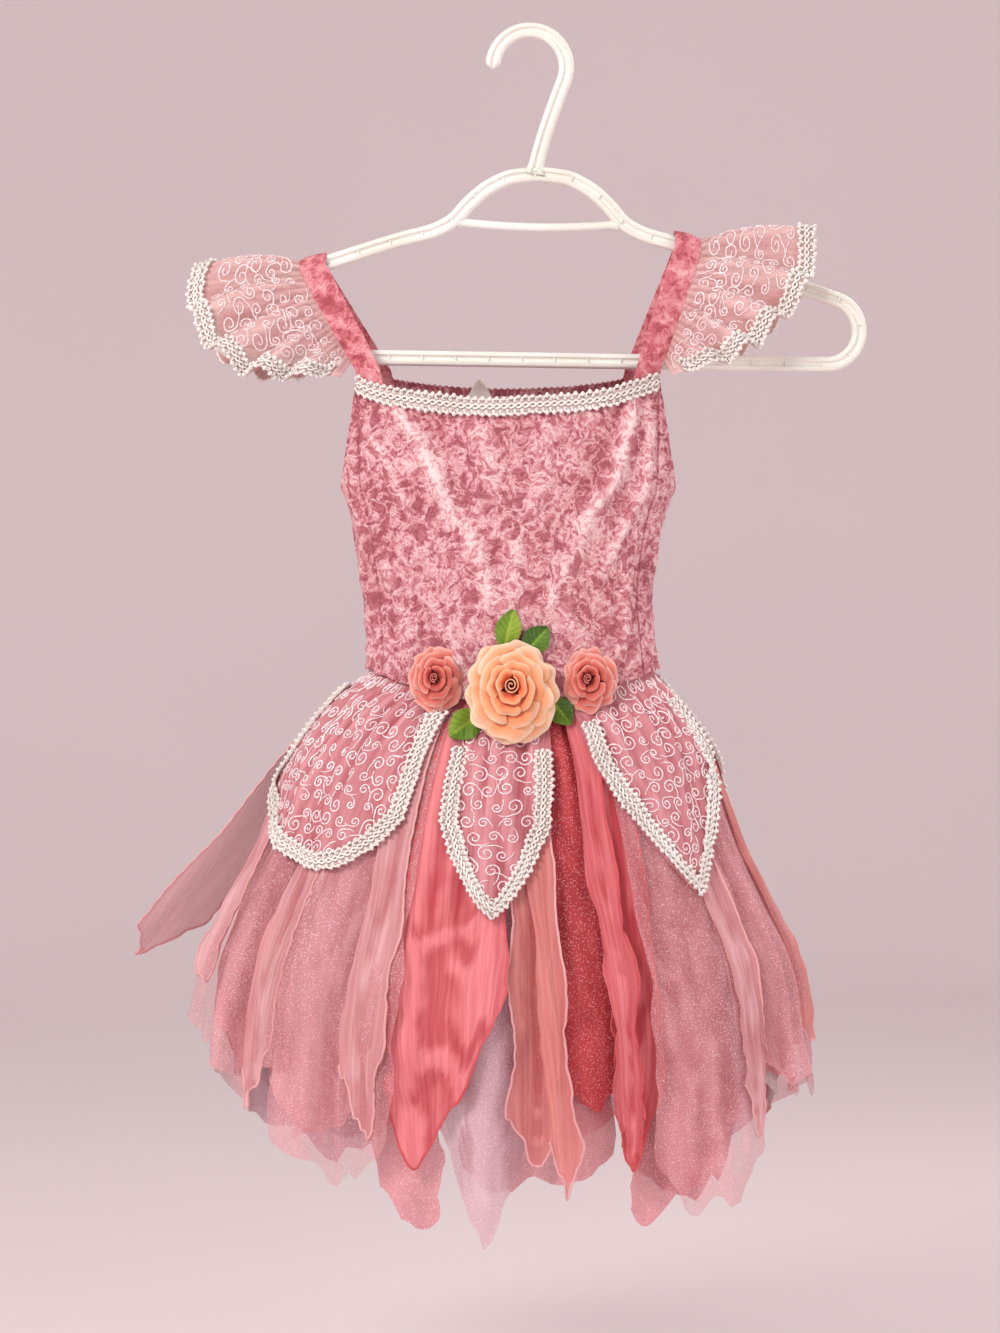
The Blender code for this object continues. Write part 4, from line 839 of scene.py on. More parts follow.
skirt = {
    # drop, half width, half depth, middle
    "profile": (
        (-6.0, 89.1, 29.2, -11.0), (0.5, 89.1, 29.2, -11.0), (7.0, 95.0, 31.5, -12.6),
        (18.0, 107.0, 38.0, -15.0), (48.0, 129.0, 51.0, -16.5), (75.0, 141.0, 59.0, -18.0),
        (105.0, 152.0, 68.0, -18.0), (149.0, 169.0, 80.0, -18.5), (186.0, 181.0, 88.0, -18.5),
        (224.0, 187.0, 94.0, -18.0), (275.0, 190.0, 98.0, -18.0), (365.0, 193.0, 102.0, -18.0),
    ),
    "pitchAtWaist": 1.5, "pitchAtHem": 6.5, "hemDrop": 330.0, "folds": 16, "foldDepth": 9.0,
    "gathers": 52, "gatherDepth": 1.7,
}

# the middle line's angle and the half width at the waist and at the tip, the tip's drop and place across,
# the share of that drop at the left and right edges, and how square the hem is
panelColumns = ("name", "layer", "top", "halfTop", "foot", "halfFoot", "tip", "tipAt", "left", "right",
                "power", "finish")
panels = (
    ("petal_left", 0, -58, 36, -60, 33, 114, 0.38, 0.62, 0.66, 1.9, "print"),
    ("petal_front", 0, -1, 16, -2, 12.5, 131, 0.0, 0.58, 0.58, 1.5, "print"),
    ("petal_right", 0, 54, 30, 52, 22, 131, -0.15, 0.34, 0.42, 1.3, "print"),
    ("petal_back_right", 0, 118, 24, 117, 23, 122, 0.1, 0.5, 0.5, 1.7, "print"),
    ("petal_back", 0, 167, 21, 167, 20, 130, 0.0, 0.5, 0.5, 1.6, "print"),
    ("petal_back_left", 0, 213, 19, 213, 18, 124, 0.0, 0.5, 0.5, 1.6, "print"),
    ("organza_wing", 1, -111, 14, -110, 17, 186, 0.1, 0.84, 0.86, 1.2, "pale"),
    ("organza_pale", 1, -36, 13, -37, 13, 272, -0.1, 0.85, 0.9, 1.5, "pale"),
    ("organza_coral", 1, -10, 11.5, -11, 10.5, 284, -0.55, 0.86, 0.62, 1.3, "coral"),
    ("organza_peach", 1, 7, 4.4, 5.5, 4.8, 276, 0.3, 0.9, 0.92, 1.4, "peachOrganza"),
    ("organza_deep_coral", 1, 31, 6.5, 26.5, 5, 290, -0.2, 0.86, 0.84, 1.2, "coral"),
    ("organza_right", 1, 75, 21, 74, 21, 258, 0.2, 0.83, 0.88, 1.4, "pale"),
    ("organza_back_right", 1, 130, 20, 130, 21, 270, 0.1, 0.84, 0.84, 1.3, "pale"),
    ("organza_back", 1, 180, 20, 180, 21, 285, -0.1, 0.84, 0.86, 1.3, "coral"),
    ("organza_back_left", 1, 218, 15, 218, 15, 262, 0.2, 0.84, 0.84, 1.3, "pale"),
    ("net_rose_left", 2, -76, 15, -75, 15.5, 254, 0.3, 0.8, 0.9, 1.5, "roseNet"),
    ("net_coral_left", 2, -50, 8, -49, 7.5, 210, 0.2, 0.85, 0.85, 1.3, "redNet"),
    ("net_front_left", 2, -28, 11.5, -21, 8.5, 316, 0.9, 0.78, 0.97, 1.6, "roseNet"),
    ("net_lavender", 2, -3, 9.5, -2.5, 8.5, 321, -0.1, 0.8, 0.82, 1.5, "paleNet"),
    ("net_red", 2, 18, 7.5, 16, 7, 246, 0.1, 0.93, 0.95, 2.0, "redNet"),
    ("net_pink_right", 2, 43, 15, 41, 15, 327, -0.85, 0.97, 0.82, 1.2, "roseNet"),
    ("net_right", 2, 76, 14.5, 76, 15, 256, -0.1, 0.85, 0.85, 1.5, "roseNet"),
    ("net_back_right", 2, 118, 23, 118, 24, 290, 0.2, 0.86, 0.86, 1.4, "roseNet"),
    ("net_back", 2, 170, 24, 170, 25, 305, -0.1, 0.86, 0.86, 1.4, "roseNet"),
    ("net_back_left", 2, 225, 27, 224, 26, 286, 0.1, 0.86, 0.86, 1.4, "greyNet"),
    ("inner_left", 3, -70, 15, -70, 15, 258, 0.2, 0.86, 0.88, 1.8, "greyNet"),
    ("inner_front_left", 3, -39, 14, -38, 14.5, 287, 0.2, 0.88, 0.92, 1.8, "paleNet"),
    ("inner_front", 3, 4, 18, 8, 15, 292, -0.2, 0.95, 0.95, 3.0, "roseNet"),
    ("inner_front_right", 3, 42, 15, 42, 16, 310, 0.1, 0.9, 0.9, 1.8, "roseNet"),
    ("inner_right", 3, 76, 15, 76, 15, 274, 0.1, 0.86, 0.86, 1.6, "greyNet"),
    ("inner_back_right", 3, 134, 37, 134, 37, 300, 0.1, 0.88, 0.88, 1.8, "paleNet"),
    ("inner_back_left", 3, 226, 37, 226, 37, 296, -0.1, 0.88, 0.88, 1.8, "paleNet"),
)
# sheer pieces over the organza: narrow edged strips and wide veils, which stand out below the petals
overlay = {"standsOut": 1.3, "from": 112.0, "over": 60.0}
overlays = (
    ("strip_far_left", 0.5, -88, 8, -84, 7, 196, 0.4, 0.8, 0.9, 1.3, "pale"),
    ("strip_pale_left", 0.5, -50, 5, -52, 5, 258, -0.4, 0.9, 0.82, 1.3, "pale"),
    ("strip_pale", 0.5, -27, 4.5, -26, 5, 262, 0.5, 0.84, 0.93, 1.3, "pale"),
    ("strip_front", 0.5, 8, 3.2, 11, 2.6, 292, 0.2, 0.9, 0.94, 1.2, "peachOrganza"),
    ("strip_coral", 0.5, 24, 3.5, 23, 3.5, 282, 0.5, 0.85, 0.92, 1.4, "coral"),
    ("strip_right", 0.5, 55, 5, 54, 6, 276, -0.3, 0.9, 0.84, 1.3, "pale"),
    ("strip_far_right", 0.5, 90, 9, 88, 9, 238, 0.2, 0.84, 0.88, 1.3, "peachOrganza"),
    ("strip_back_right", 0.5, 152, 7, 152, 8, 268, 0.2, 0.88, 0.84, 1.3, "pale"),
    ("strip_back", 0.5, 196, 6, 197, 7, 262, -0.2, 0.88, 0.86, 1.4, "peachOrganza"),
    ("strip_back_left", 0.5, 240, 8, 238, 8, 244, 0.2, 0.86, 0.88, 1.3, "coral"),
    ("veil_left", 0.75, -64, 21, -64, 22, 244, 0.2, 0.88, 0.93, 2.2, "veil"),
    ("veil_front_left", 0.75, -33, 13, -32, 13, 292, 0.3, 0.9, 0.94, 2.4, "veil"),
    ("veil_right", 0.75, 47, 15, 45, 15, 312, -0.4, 0.93, 0.86, 1.8, "veil"),
    ("veil_far_right", 0.75, 76, 18, 76, 18, 262, 0.1, 0.9, 0.88, 2.0, "veil"),
    ("veil_back_right", 0.75, 130, 32, 130, 32, 290, 0.2, 0.9, 0.9, 2.2, "veil"),
    ("veil_back_left", 0.75, 212, 40, 212, 40, 290, -0.1, 0.9, 0.88, 2.2, "veil"),
)
wing = {"flare": 70.0, "power": 1.35, "backPetalFlare": 7.0, "from": 8.0, "over": 184.0}
# for each layer: how deep the folds of a piece alone may be, and from which drop
ownRoom = {"depth": (0.0, 4.6, 2.0, 1.5), "from": (20, 120, 20, 20), "over": 90}
# pieces made paler or deeper than others of the same cloth
panelShade = {"organza_coral": 0.12, "organza_deep_coral": -0.2, "organza_pale": 0.1, "organza_right": -0.15,
              "net_coral_left": -0.3}

# creases of single panels: angle, drop, angle, drop, rise, width
panelCreases = {
    "petal_left": ((-78, 12, -58, 80, 2.2, 5), (-50, 10, -62, 96, 2.0, 5), (-34, 10, -44, 70, 1.4, 4)),
    "petal_front": ((-6, 8, -5, 90, 1.2, 3), (4, 8, 3, 96, 1.3, 3)),
    "petal_right": ((34, 10, 44, 80, 1.8, 4), (66, 10, 50, 96, 2.0, 5), (76, 12, 64, 56, 1.4, 4)),
    "organza_coral": ((-20, 150, -2, 128, 3.0, 6), (-19, 196, -4, 232, 3.6, 7), (-8, 60, -12, 150, 2.2, 5),
                      (-16, 240, -6, 205, -2.6, 6)),
    "organza_pale": ((-46, 96, -34, 180, 2.6, 5), (-28, 110, -38, 230, 2.2, 5)),
    "organza_deep_coral": ((26, 90, 29, 190, 1.8, 4), (29, 200, 25, 270, 1.6, 4)),
    "organza_right": ((62, 120, 70, 210, 2.6, 6), (84, 110, 76, 220, 2.2, 6)),
    "net_pink_right": ((34, 110, 40, 250, 2.2, 6), (50, 150, 46, 290, 2.0, 6)),
}


def folds(angle, drop):
    # two cosines round the body that drift with the drop, gathers that die away below the waist, and crinkles
    turn = np.radians(angle)
    warped = turn + 0.05 * np.sin(3 * turn + 1.0) + 0.03 * np.sin(5 * turn)
    share = np.clip(drop / skirt["hemDrop"], 0, 1.1)
    depth = skirt["foldDepth"] * share**1.15
    drift = 0.5 * np.sin(2 * turn + 0.7) * share
    wide = depth * (0.78 * np.cos(skirt["folds"] * warped + drift) + 0.22 * np.cos(9 * warped + 1.3))
    gathered = np.clip(drop / 14, 0, 1) * np.exp(-np.clip(drop - 16, 0, None) / 55)
    uneven = 0.65 * np.cos(skirt["gathers"] * warped + 2.6 * np.sin(7 * warped + drop / 50)) + 0.9 * noise(
        angle * 2.6, drop * 0.06, 8, 24)
    gathers = skirt["gatherDepth"] * gathered * uneven
    crinkle = 2.4 * share**0.7 * noise(angle * 2.6, drop * 0.35, 13, 21)
    crinkle = crinkle + share**0.5 * noise(angle * 2.6, drop, 9, 22)
    return wide + gathers + crinkle


def ownFolds(angle, drop, layer, seed):
    # lengthwise folds and crumples of one piece alone, as deep as the space to the next layer lets them be
    room = ownRoom["depth"][layer] * np.clip((drop - ownRoom["from"][layer]) / ownRoom["over"], 0, 1)
    room = room + (0.7 if layer == 1 else 0.0) * np.clip(drop / 60, 0, 1)
    long = noise(angle * 2.8 + 0.05 * drop, drop * 0.07 + 5 * seed, 12, seed)
    sharp = 1 - 2 * np.abs(noise(angle * 2.8 - 0.04 * drop, drop * 0.09, 15, seed + 9))
    crumple = noise(angle * 2.8 + 0.3 * drop, drop * 0.6, 13, seed + 17)
    return room * (0.55 * long + 0.25 * sharp + 0.16 * crumple + (0.3 if layer == 1 else 0.0))


def skirtPoint(angle, drop, layer, name=""):
    turn = np.radians(angle)
    share = np.clip(drop / skirt["hemDrop"], 0, 1)
    pitch = skirt["pitchAtWaist"] + (skirt["pitchAtHem"] - skirt["pitchAtWaist"]) * share**0.55
    if 0 < layer < 1:
        depth = layer - overlay["standsOut"] * np.clip((drop - overlay["from"]) / overlay["over"], 0, 1)
    else:
        depth = layer
    outward = folds(angle, drop) - depth * pitch
    if name and layer:
        outward = outward + ownFolds(angle, drop, math.ceil(layer), seedOf(name) % 89)
    outward = outward + ridges(angle * 2.4, drop, [(a * 2.4, b, c * 2.4, d, e, f) for a, b, c, d, e, f in
                                                   panelCreases.get(name, ())])
    wide, deep, middle = (smoothTable(drop, skirt["profile"], k) for k in (1, 2, 3))
    flare = {"organza_wing": -wing["flare"], "petal_back_right": wing["backPetalFlare"]}.get(name, 0.0)
    sideways = flare * np.clip((drop - wing["from"]) / wing["over"], 0, None) ** wing["power"]
    x = middle + (wide + outward) * np.sin(turn) + sideways
    return np.stack([x, -(deep + outward) * np.cos(turn), waistZ(angle) - drop], -1)


def hemDrop(panel, across):
    left = np.clip((panel["tipAt"] - across) / (panel["tipAt"] + 1), 0, 1)
    right = np.clip((across - panel["tipAt"]) / (1 - panel["tipAt"]), 0, 1)
    lost = (1 - panel["left"]) * left ** panel["power"] + (1 - panel["right"]) * right ** panel["power"]
    return panel["tip"] * (1 - lost)


def panelAngle(panel, across, drop):
    # the middle line turns, and the half width changes, evenly from the waist down to the tip
    share = np.clip(drop / panel["tip"], 0, 1)
    centre = panel["top"] + (panel["foot"] - panel["top"]) * share
    return centre + (panel["halfTop"] + (panel["halfFoot"] - panel["halfTop"]) * share) * across


def panelPlace(panel, across, along):
    # the hem is ragged and the side edges wander, both more the longer the piece hangs free
    seed = seedOf(panel["name"])
    ragged = 0.0 if panel["layer"] == 0 else 1.0
    hem = hemDrop(panel, across) * (1 + ragged * (0.030 * noise(across * 22, 0 * across, 7, seed)
                                                  + 0.014 * noise(across * 60, 0 * across, 7, seed + 1)))
    drop = -waist["tuck"] + along * (hem + waist["tuck"])
    side = 40 * np.sign(across)
    wander = 1.9 * noise(drop, side, 34, seed + 2) + 0.8 * noise(drop, side, 11, seed + 3)
    wander = wander * (ragged * np.clip(drop / panel["tip"], 0, 1))
    return panelAngle(panel, across, drop) + wander * across**2, drop


def creaseTone(grid, normal, reach):
    # how far each place stands out from the mean of its neighbours across the cloth: crests are over 0
    padded = np.concatenate([grid[:, :1].repeat(reach, 1), grid, grid[:, -1:].repeat(reach, 1)], 1)
    around = (padded[:, 2 * reach :] + padded[:, : -2 * reach]) / 2
    tone = np.sum((grid - around) * normal, -1)
    tone[:, :reach] = tone[:, -reach:] = 0
    return np.clip(tone, -1, 1)


def panelGrid(panel, columns, rows):
    across, along = np.meshgrid(np.linspace(-1, 1, columns), np.linspace(0, 1, rows) ** 0.85)
    angle, drop = panelPlace(panel, across, along)
    grid = skirtPoint(angle, drop, panel["layer"], panel["name"])
    normal = gridNormals(grid)
    outward = np.sign(np.sum(normal * (grid - (-16, 0, 0)) * (1, 1, 0)))
    # free edges curl a little, turn and turn about
    curl = (np.abs(across) ** 7 + along**14) * np.clip(drop / skirt["hemDrop"], 0, 1) ** 0.6
    curl = curl * (1.0 + 2.2 * noise(drop, 30 * across, 26, seedOf(panel["name"]) + 5))
    curl = curl * (0.0 if panel["layer"] == 0 else 1.0)
    # crests are painted paler as highlights and hollows darker as shade; the nets' hems are paler
    reach = max(1, round(2.6 * columns / (2 * panel["halfFoot"])))
    strength = 0.25 if panel["layer"] == 0 else 0.35
    hem = 0.3 * np.clip((drop - 190) / 110, 0, 1) if panel["layer"] >= 2 else 0
    shade = 0.5 + panelShade.get(panel["name"], 0.0)
    tone = np.clip(shade + strength * creaseTone(grid, normal * outward, reach) + hem, 0, 1)
    return grid + normal * outward * curl[..., None], outward, tone


roll = {"step": 2.8, "ripple": 0.35, "ripplePitch": 11.0, "halfWidth": 0.8, "halfHeight": 0.7, "sides": 6}


def rolledEdge(grid, outward, oneSided):
    # a fine overlocked roll down one side, round the hem and up the other side, rippling in and out
    normal = gridNormals(grid)
    first = 0 if oneSided else 4
    fields = []
    for field in (grid, normal):
        down = field[first:, 0] if not oneSided else field[-1:, 0]
        fields.append(np.concatenate([down, field[-1, 1:-1], field[4:, -1][::-1]]))
    both, along = resampled(np.concatenate(fields, 1), roll["step"])
    path, normal = both[:, :3], unit(both[:, 3:]) * outward
    ripple = roll["ripple"] * np.sin(2 * math.pi * along / roll["ripplePitch"])[:, None]
    return tubeOf(path + normal * ripple, normal, roll["halfWidth"], roll["halfHeight"], roll["sides"])


edgeFinish = {"coral": "edgeBright", "peachOrganza": "edgePale", "pale": "edgePale"}
# for each layer: columns to a degree in front and behind, rows, wall
panelDensity = {0: (2.4, 1.9, 56, 0.5), 0.5: (2.2, 1.8, 56, 0.3), 0.75: (1.4, 1.0, 48, 0.3),
                1: (2.3, 1.7, 76, 0.35), 2: (1.6, 1.1, 54, 0.35), 3: (1.2, 0.8, 42, 0.35)}


def makePanels():
    for row in panels + overlays:
        panel = dict(zip(panelColumns, row))
        inFront, behind, rows, sheer = panelDensity[panel["layer"]]
        columns = round(max(14, panel["halfFoot"] * (inFront if abs(panel["top"]) < 100 else behind)))
        grid, outward, tone = panelGrid(panel, columns, rows)
        name, finish, over = panel["name"], panel["finish"], 0 < panel["layer"] < 1
        piece = makePiece("cloth_" + name, wallOf(grid, sheer, outward, tone), finish, [] if over else [name])
        extras = trimPetal(panel) if panel["layer"] == 0 else []
        if finish in edgeFinish:
            edge = rolledEdge(grid, outward, over)
            extras.append(makePiece("roll_" + name, edge, edgeFinish[finish]))
        declareSheet(grid)


# Gimp braid: two cords plaited down the middle, a row of loops along each edge, on a thin tape

gimp = {"middle": 1.3, "half": 2.2, "pitch": 4.2, "loop": 2.6, "cord": 0.78, "tapeHalf": 3.6, "knot": 1.6,
        "steps": 8, "tape": 0.5, "onPetal": 0.9, "petalInset": 4.6}


def gimpBraid(path, normal, aside, scale=1.0):
    # path is the braid's middle line, aside points across it
    both, along = resampled(np.concatenate([path, normal, aside], 1), gimp["pitch"] * scale / gimp["steps"])
    path, normal, aside = both[:, :3], unit(both[:, 3:6]), unit(both[:, 6:])
    ahead = unit(np.gradient(path, axis=0))
    phase = (2 * math.pi * along / (gimp["pitch"] * scale))[:, None]
    cord = gimp["cord"] * scale
    parts = []
    for sign in (-1, 1):
        sway = sign * gimp["middle"] * scale * np.sin(phase / 2)
        lift = sign * 0.55 * scale * np.cos(phase / 2) + cord * 1.4
        parts.append(tubeOf((path + aside * sway + normal * lift)[::2], normal[::2], cord, cord, 4, tone=1.0))
        uneven = 0.5 + 0.16 * noise(along, 7 * sign + 0 * along, 3.1, 41)[:, None]
        outer = sign * (gimp["half"] * scale + gimp["loop"] * scale * uneven * (1 - np.cos(phase)))
        back = -0.36 * gimp["pitch"] * scale * np.sin(phase)
        lift = cord * 0.9 + 0.55 * np.sin(phase) + 0.5 * noise(along, 9 * sign + 0 * along, 2.3, 42)[:, None]
        loops = path + aside * outer + ahead * back + normal * lift
        parts.append(tubeOf(loops, normal, cord, cord, 4, tone=0.85))
        # a knot on the crown of every loop
        crowns = np.arange(gimp["steps"] // 2, len(path), gimp["steps"])
        run = np.array([-0.95, -0.4, 0.4, 0.95])
        size = gimp["knot"] * scale * np.sqrt(1 - run**2) * (0.75 + 0.5 * (crowns[:, None] * 0.618 % 1))
        seat = loops[crowns] + normal[crowns] * (0.3 + 0.5 * (crowns[:, None] * 0.382 % 1))
        knots = seat[:, None] + (ahead[crowns] * gimp["knot"] * scale * 0.8)[:, None] * run[:, None]
        parts.append(tubeOf(knots, normal[crowns][:, None], size, size, 6, tone=1.0))
    # the tape keeps tone 0 and the loops have 0.85, which gimpCord turns into painted shade
    tape = np.stack([path + aside * gimp["tapeHalf"] * scale * s for s in (-1, -0.3, 0.3, 1)], 0)[:, ::4]
    return joined(parts + [wallOf(tape, gimp["tape"], sideOf(tape, normal[::4]))])


def ribbonLine(panel, inward):
    # the petal's edge moved inward: straight down each side, the hem drawn up by inward along its normal
    start = {"petal_left": 11.0, "petal_front": 30.0, "petal_right": 18.0}.get(panel["name"], 5.0)
    run = np.linspace(0, 1, 30)
    across = np.concatenate([-np.ones(29), np.linspace(-1, 1, 80), np.ones(29)])
    share = np.concatenate([run[:-1], np.ones(80), run[:-1][::-1]])
    onHem = share == 1
    outerDrop = start + (hemDrop(panel, across) - start) * share
    turn = np.radians(panel["top"] + (panel["foot"] - panel["top"]) * outerDrop / panel["tip"]
                      + panel["halfFoot"] * across)
    wide, deep = (smoothTable(outerDrop, skirt["profile"], k) for k in (1, 2))
    girth = np.hypot(wide * np.cos(turn), deep * np.sin(turn)) * math.pi / 180
    half = panel["halfFoot"] * girth
    inner = across * (1 - inward / half)
    slope = (hemDrop(panel, inner + 0.02) - hemDrop(panel, inner - 0.02)) / (0.04 * half)
    drop = np.where(onHem, hemDrop(panel, inner) - inward * np.sqrt(1 + slope**2), outerDrop)
    return panelAngle(panel, inner, drop), drop


def onSurface(placeAt, angle, down, lift):
    # the places that stand lift over a surface, and its normals there, from the places just round them
    here, ahead, behind, below, above = (
        placeAt(angle + aside, down + further)
        for aside, further in ((0, 0), (0.4, 0), (-0.4, 0), (0, 0.4), (0, -0.4)))
    normal = unit(np.cross(below - above, ahead - behind))
    return here + normal * lift, normal


def onPetal(panel, angle, drop, lift):
    return onSurface(lambda a, down: skirtPoint(a, down, 0, panel["name"]), angle, drop, lift)


def trimPetal(panel):
    name = panel["name"].replace("petal", "braid")
    edge, _ = onPetal(panel, *ribbonLine(panel, 0.5), gimp["onPetal"])
    middle, normal = onPetal(panel, *ribbonLine(panel, gimp["petalInset"]), gimp["onPetal"])
    return [makePiece("gimp_" + name, gimpBraid(middle, normal, unit(edge - middle)), "gimp", [name]),
            makePiece("scroll_" + panel["name"], petalScrolls(panel), "scroll")]


# Scroll print: curls that wind in to their middle and run out in a tail, in rows that face both ways

scroll = {"spacing": 10.4, "radius": 4.2, "turns": 1.45, "line": 0.52, "rise": 0.3, "stations": 27,
          "onPetal": 0.42, "onSleeve": 0.38}


def curls(count, seed):
    # each curl in the plane of the cloth: radius grows along the turn, then a tail swings out
    rng = np.random.default_rng(seed)
    t = np.linspace(0, 1, scroll["stations"])[None, :]
    hand = np.where(np.arange(count) % 2 == 0, 1, -1)[:, None]
    size = scroll["radius"] * rng.uniform(0.6, 1.2, (count, 1))
    start = rng.uniform(0, 2 * math.pi, (count, 1))
    wound = np.clip(t / 0.8, 0, 1)
    tail = np.clip((t - 0.8) / 0.2, 0, 1)
    radius = size * (0.12 + 0.88 * wound**0.85) + size * 0.95 * tail**1.3
    turn = start + hand * 2 * math.pi * scroll["turns"] * (wound + 0.10 * tail)
    line = scroll["line"] * (0.65 + 0.5 * np.sin(math.pi * np.clip(t * 1.05, 0, 1)) ** 0.5)
    return radius * np.cos(turn), radius * np.sin(turn), np.broadcast_to(line, radius.shape)


def petalScrolls(panel):
    spacing = scroll["spacing"]
    half = 0.0175 * panel["halfFoot"] * float(smoothTable(60.0, skirt["profile"], 1))
    columns = int(2 * half / spacing) + 2
    rowsDown = int(panel["tip"] / spacing) + 1
    i, j = np.meshgrid(np.arange(columns), np.arange(rowsDown))
    rng = np.random.default_rng(seedOf(panel["name"]))
    across = (i - (columns - 1) / 2 + 0.5 * (j % 2)) * spacing + rng.uniform(-1.5, 1.5, i.shape)
    drop = 6 + j * spacing * 0.92 + rng.uniform(-1.5, 1.5, i.shape)
    across, drop = across.reshape(-1), drop.reshape(-1)
    share = across / half
    fits = (np.abs(share) < 0.97) & (drop < hemDrop(panel, np.clip(share, -1, 1)) - 6)
    across, drop = across[fits], drop[fits]
    dx, dz, line = curls(len(across), len(panel["name"]) + panel["tip"])
    share, drop = (across[:, None] + dx) / half, np.maximum(drop[:, None] + dz, 0.5)
    inside = (np.abs(share) < 1.0) & (drop < hemDrop(panel, np.clip(share, -1, 1)) - 2)
    whole = inside.all(axis=1)
    share, drop = share[whole], drop[whole]
    path, normal = onPetal(panel, panelAngle(panel, share, drop), drop, scroll["onPetal"])
    return tubeOf(path, normal, line[whole], scroll["rise"])


makePanels()
print("skirt made")


# Flutter sleeves: a fan gathered onto the strap, ruffled along its braided edge

sleeve = {
    # share of the strap, x, depth in front, z of the outer edge
    "left": ((0.00, -118.0, 18.0, -215.5), (0.07, -132.0, 23.0, -214.5), (0.15, -153.0, 29.0, -216.0),
             (0.23, -175.0, 30.0, -212.0), (0.31, -197.0, 26.0, -199.0), (0.38, -209.0, 20.0, -180.0),
             (0.44, -213.5, 12.0, -161.0), (0.50, -205.0, 0.0, -142.5)),
    "right": ((0.00, 89.0, 18.0, -214.5), (0.07, 103.0, 23.0, -210.5), (0.15, 122.0, 28.0, -205.0),
              (0.23, 139.0, 30.0, -195.0), (0.31, 156.0, 27.0, -180.0), (0.38, 170.0, 21.0, -161.0),
              (0.44, 177.0, 12.0, -140.0), (0.50, 178.0, 0.0, -118.5)),
    "ruffles": 11, "ruffleDepth": 6.4, "puff": 5.0, "backRaise": 7.0, "pleats": 40, "pleatDepth": 0.9,
    "sheer": 0.4, "runStations": 110, "turnStations": 32, "rows": 28, "braidSkips": 9, "braidInset": 4.2,
    # the shares of the strap's front and back that no sleeve is sewn to, and the gap at its seam
    "bareFront": 0.06, "bareBack": 0.17, "seamGap": 0.3, "braidLift": 0.8, "printRows": 0.92,
}


def sleeveGrid(side):
    # straight rays from the strap to the outer edge, bulged by puff, waved by ruffles that grow outward
    line, across, share = strapLine(side, sleeve["runStations"], sleeve["turnStations"])
    kept = slice(round(sleeve["runStations"] * sleeve["bareFront"]),
                 -round(sleeve["runStations"] * sleeve["bareBack"]))
    line, across, share = line[kept], across[kept], share[kept]
    share = (share - share[0]) / (share[-1] - share[0])
    seam = line + across * (strap["width"] / 2 + sleeve["seamGap"])
    front = np.minimum(share, 1 - share)
    behind = share > 0.5
    depth, edgeX, edgeZ = (smoothTable(front, sleeve[side], k) for k in (2, 1, 3))
    edgeZ = edgeZ + np.where(behind, sleeve["backRaise"] * (1 - 2 * front), 0)
    edge = np.stack([edgeX, np.where(behind, depth, -depth), edgeZ], 1)
    out = np.stack([0 * share, -np.cos(math.pi * share), np.sin(math.pi * share)], 1)
    reach = np.linspace(0, 1, sleeve["rows"])[:, None, None]
    ends = np.clip(np.sin(math.pi * share), 0, 1)[:, None] ** 0.6
    wave = np.sin(2 * math.pi * sleeve["ruffles"] * share + 0.4)[:, None]
    uneven = 1 + 0.4 * noise(share * 60, 0 * share, 7, 31)[:, None]
    pleat = np.sin(2 * math.pi * sleeve["pleats"] * share + 2 * np.sin(9 * share))[:, None]
    relief = sleeve["ruffleDepth"] * reach**0.9 * wave * uneven * ends
    relief = relief + sleeve["pleatDepth"] * pleat * (1 - reach) ** 1.2 * np.clip(reach * 8, 0, 1)
    relief = relief + 0.7 * noise(share[:, None] * 300, reach * 60, 9, 32) * reach
    puff = sleeve["puff"] * np.sin(math.pi * reach) * ends
    points = seam * (1 - reach) + edge * reach + out * (relief + puff)
    normals = gridNormals(points)
    # painted highlights on the ruffles' and pleats' crests and painted shade in their hollows
    tone = np.clip(0.5 + 0.08 * relief[..., 0] + 0.25 * pleat[None, :, 0] * (1 - reach[..., 0]), 0, 1)
    return points, normals * np.sign(np.sum(normals * out)), tone


def sleeveScrolls(points, normals, side):
    # the curls are laid out in the fan's own lengths, then read back onto its grid
    rows, columns = points.shape[:2]
    length = np.linalg.norm(np.diff(points, axis=0), axis=-1).sum(0)
    width = np.linalg.norm(np.diff(points[rows * 2 // 3], axis=0), axis=-1).sum()
    spacing = scroll["spacing"] * sleeve["printRows"]
    i, j = np.meshgrid(np.arange(int(width / spacing)), np.arange(int(length.max() / spacing)))
    u = ((i + 0.5 + 0.5 * (j % 2)) * spacing).reshape(-1)
    v = (9 + j * spacing).reshape(-1)
    dx, dz, line = curls(len(u), 77 if side == "left" else 78)
    reachOf = np.interp(u / width * (columns - 1), np.arange(columns), length)[:, None]
    spread = 0.45 + 0.85 * v[:, None] / reachOf
    thinned = i.reshape(-1)[:, None] % np.round(1 / np.clip(spread, 0.25, 1)) == 0
    column = (u[:, None] + dx / np.maximum(spread, 0.3)) / width * (columns - 1)
    row = (v[:, None] + dz) / reachOf * (rows - 1)
    onCloth = (column > 1) & (column < columns - 2) & (row > 0.5) & (row < rows - 1 - 9 / 80 * rows)
    whole = (thinned & onCloth).all(axis=1)
    column, row, line = column[whole], row[whole], line[whole]
    a, b = np.floor(row).astype(int), np.floor(column).astype(int)
    s, t = (row - a)[..., None], (column - b)[..., None]

    def read(field):
        upper = field[a, b] * (1 - t) + field[a, b + 1] * t
        return upper * (1 - s) + (field[a + 1, b] * (1 - t) + field[a + 1, b + 1] * t) * s

    normal = unit(read(normals))
    return tubeOf(read(points) + normal * scroll["onSleeve"], normal, line, scroll["rise"])


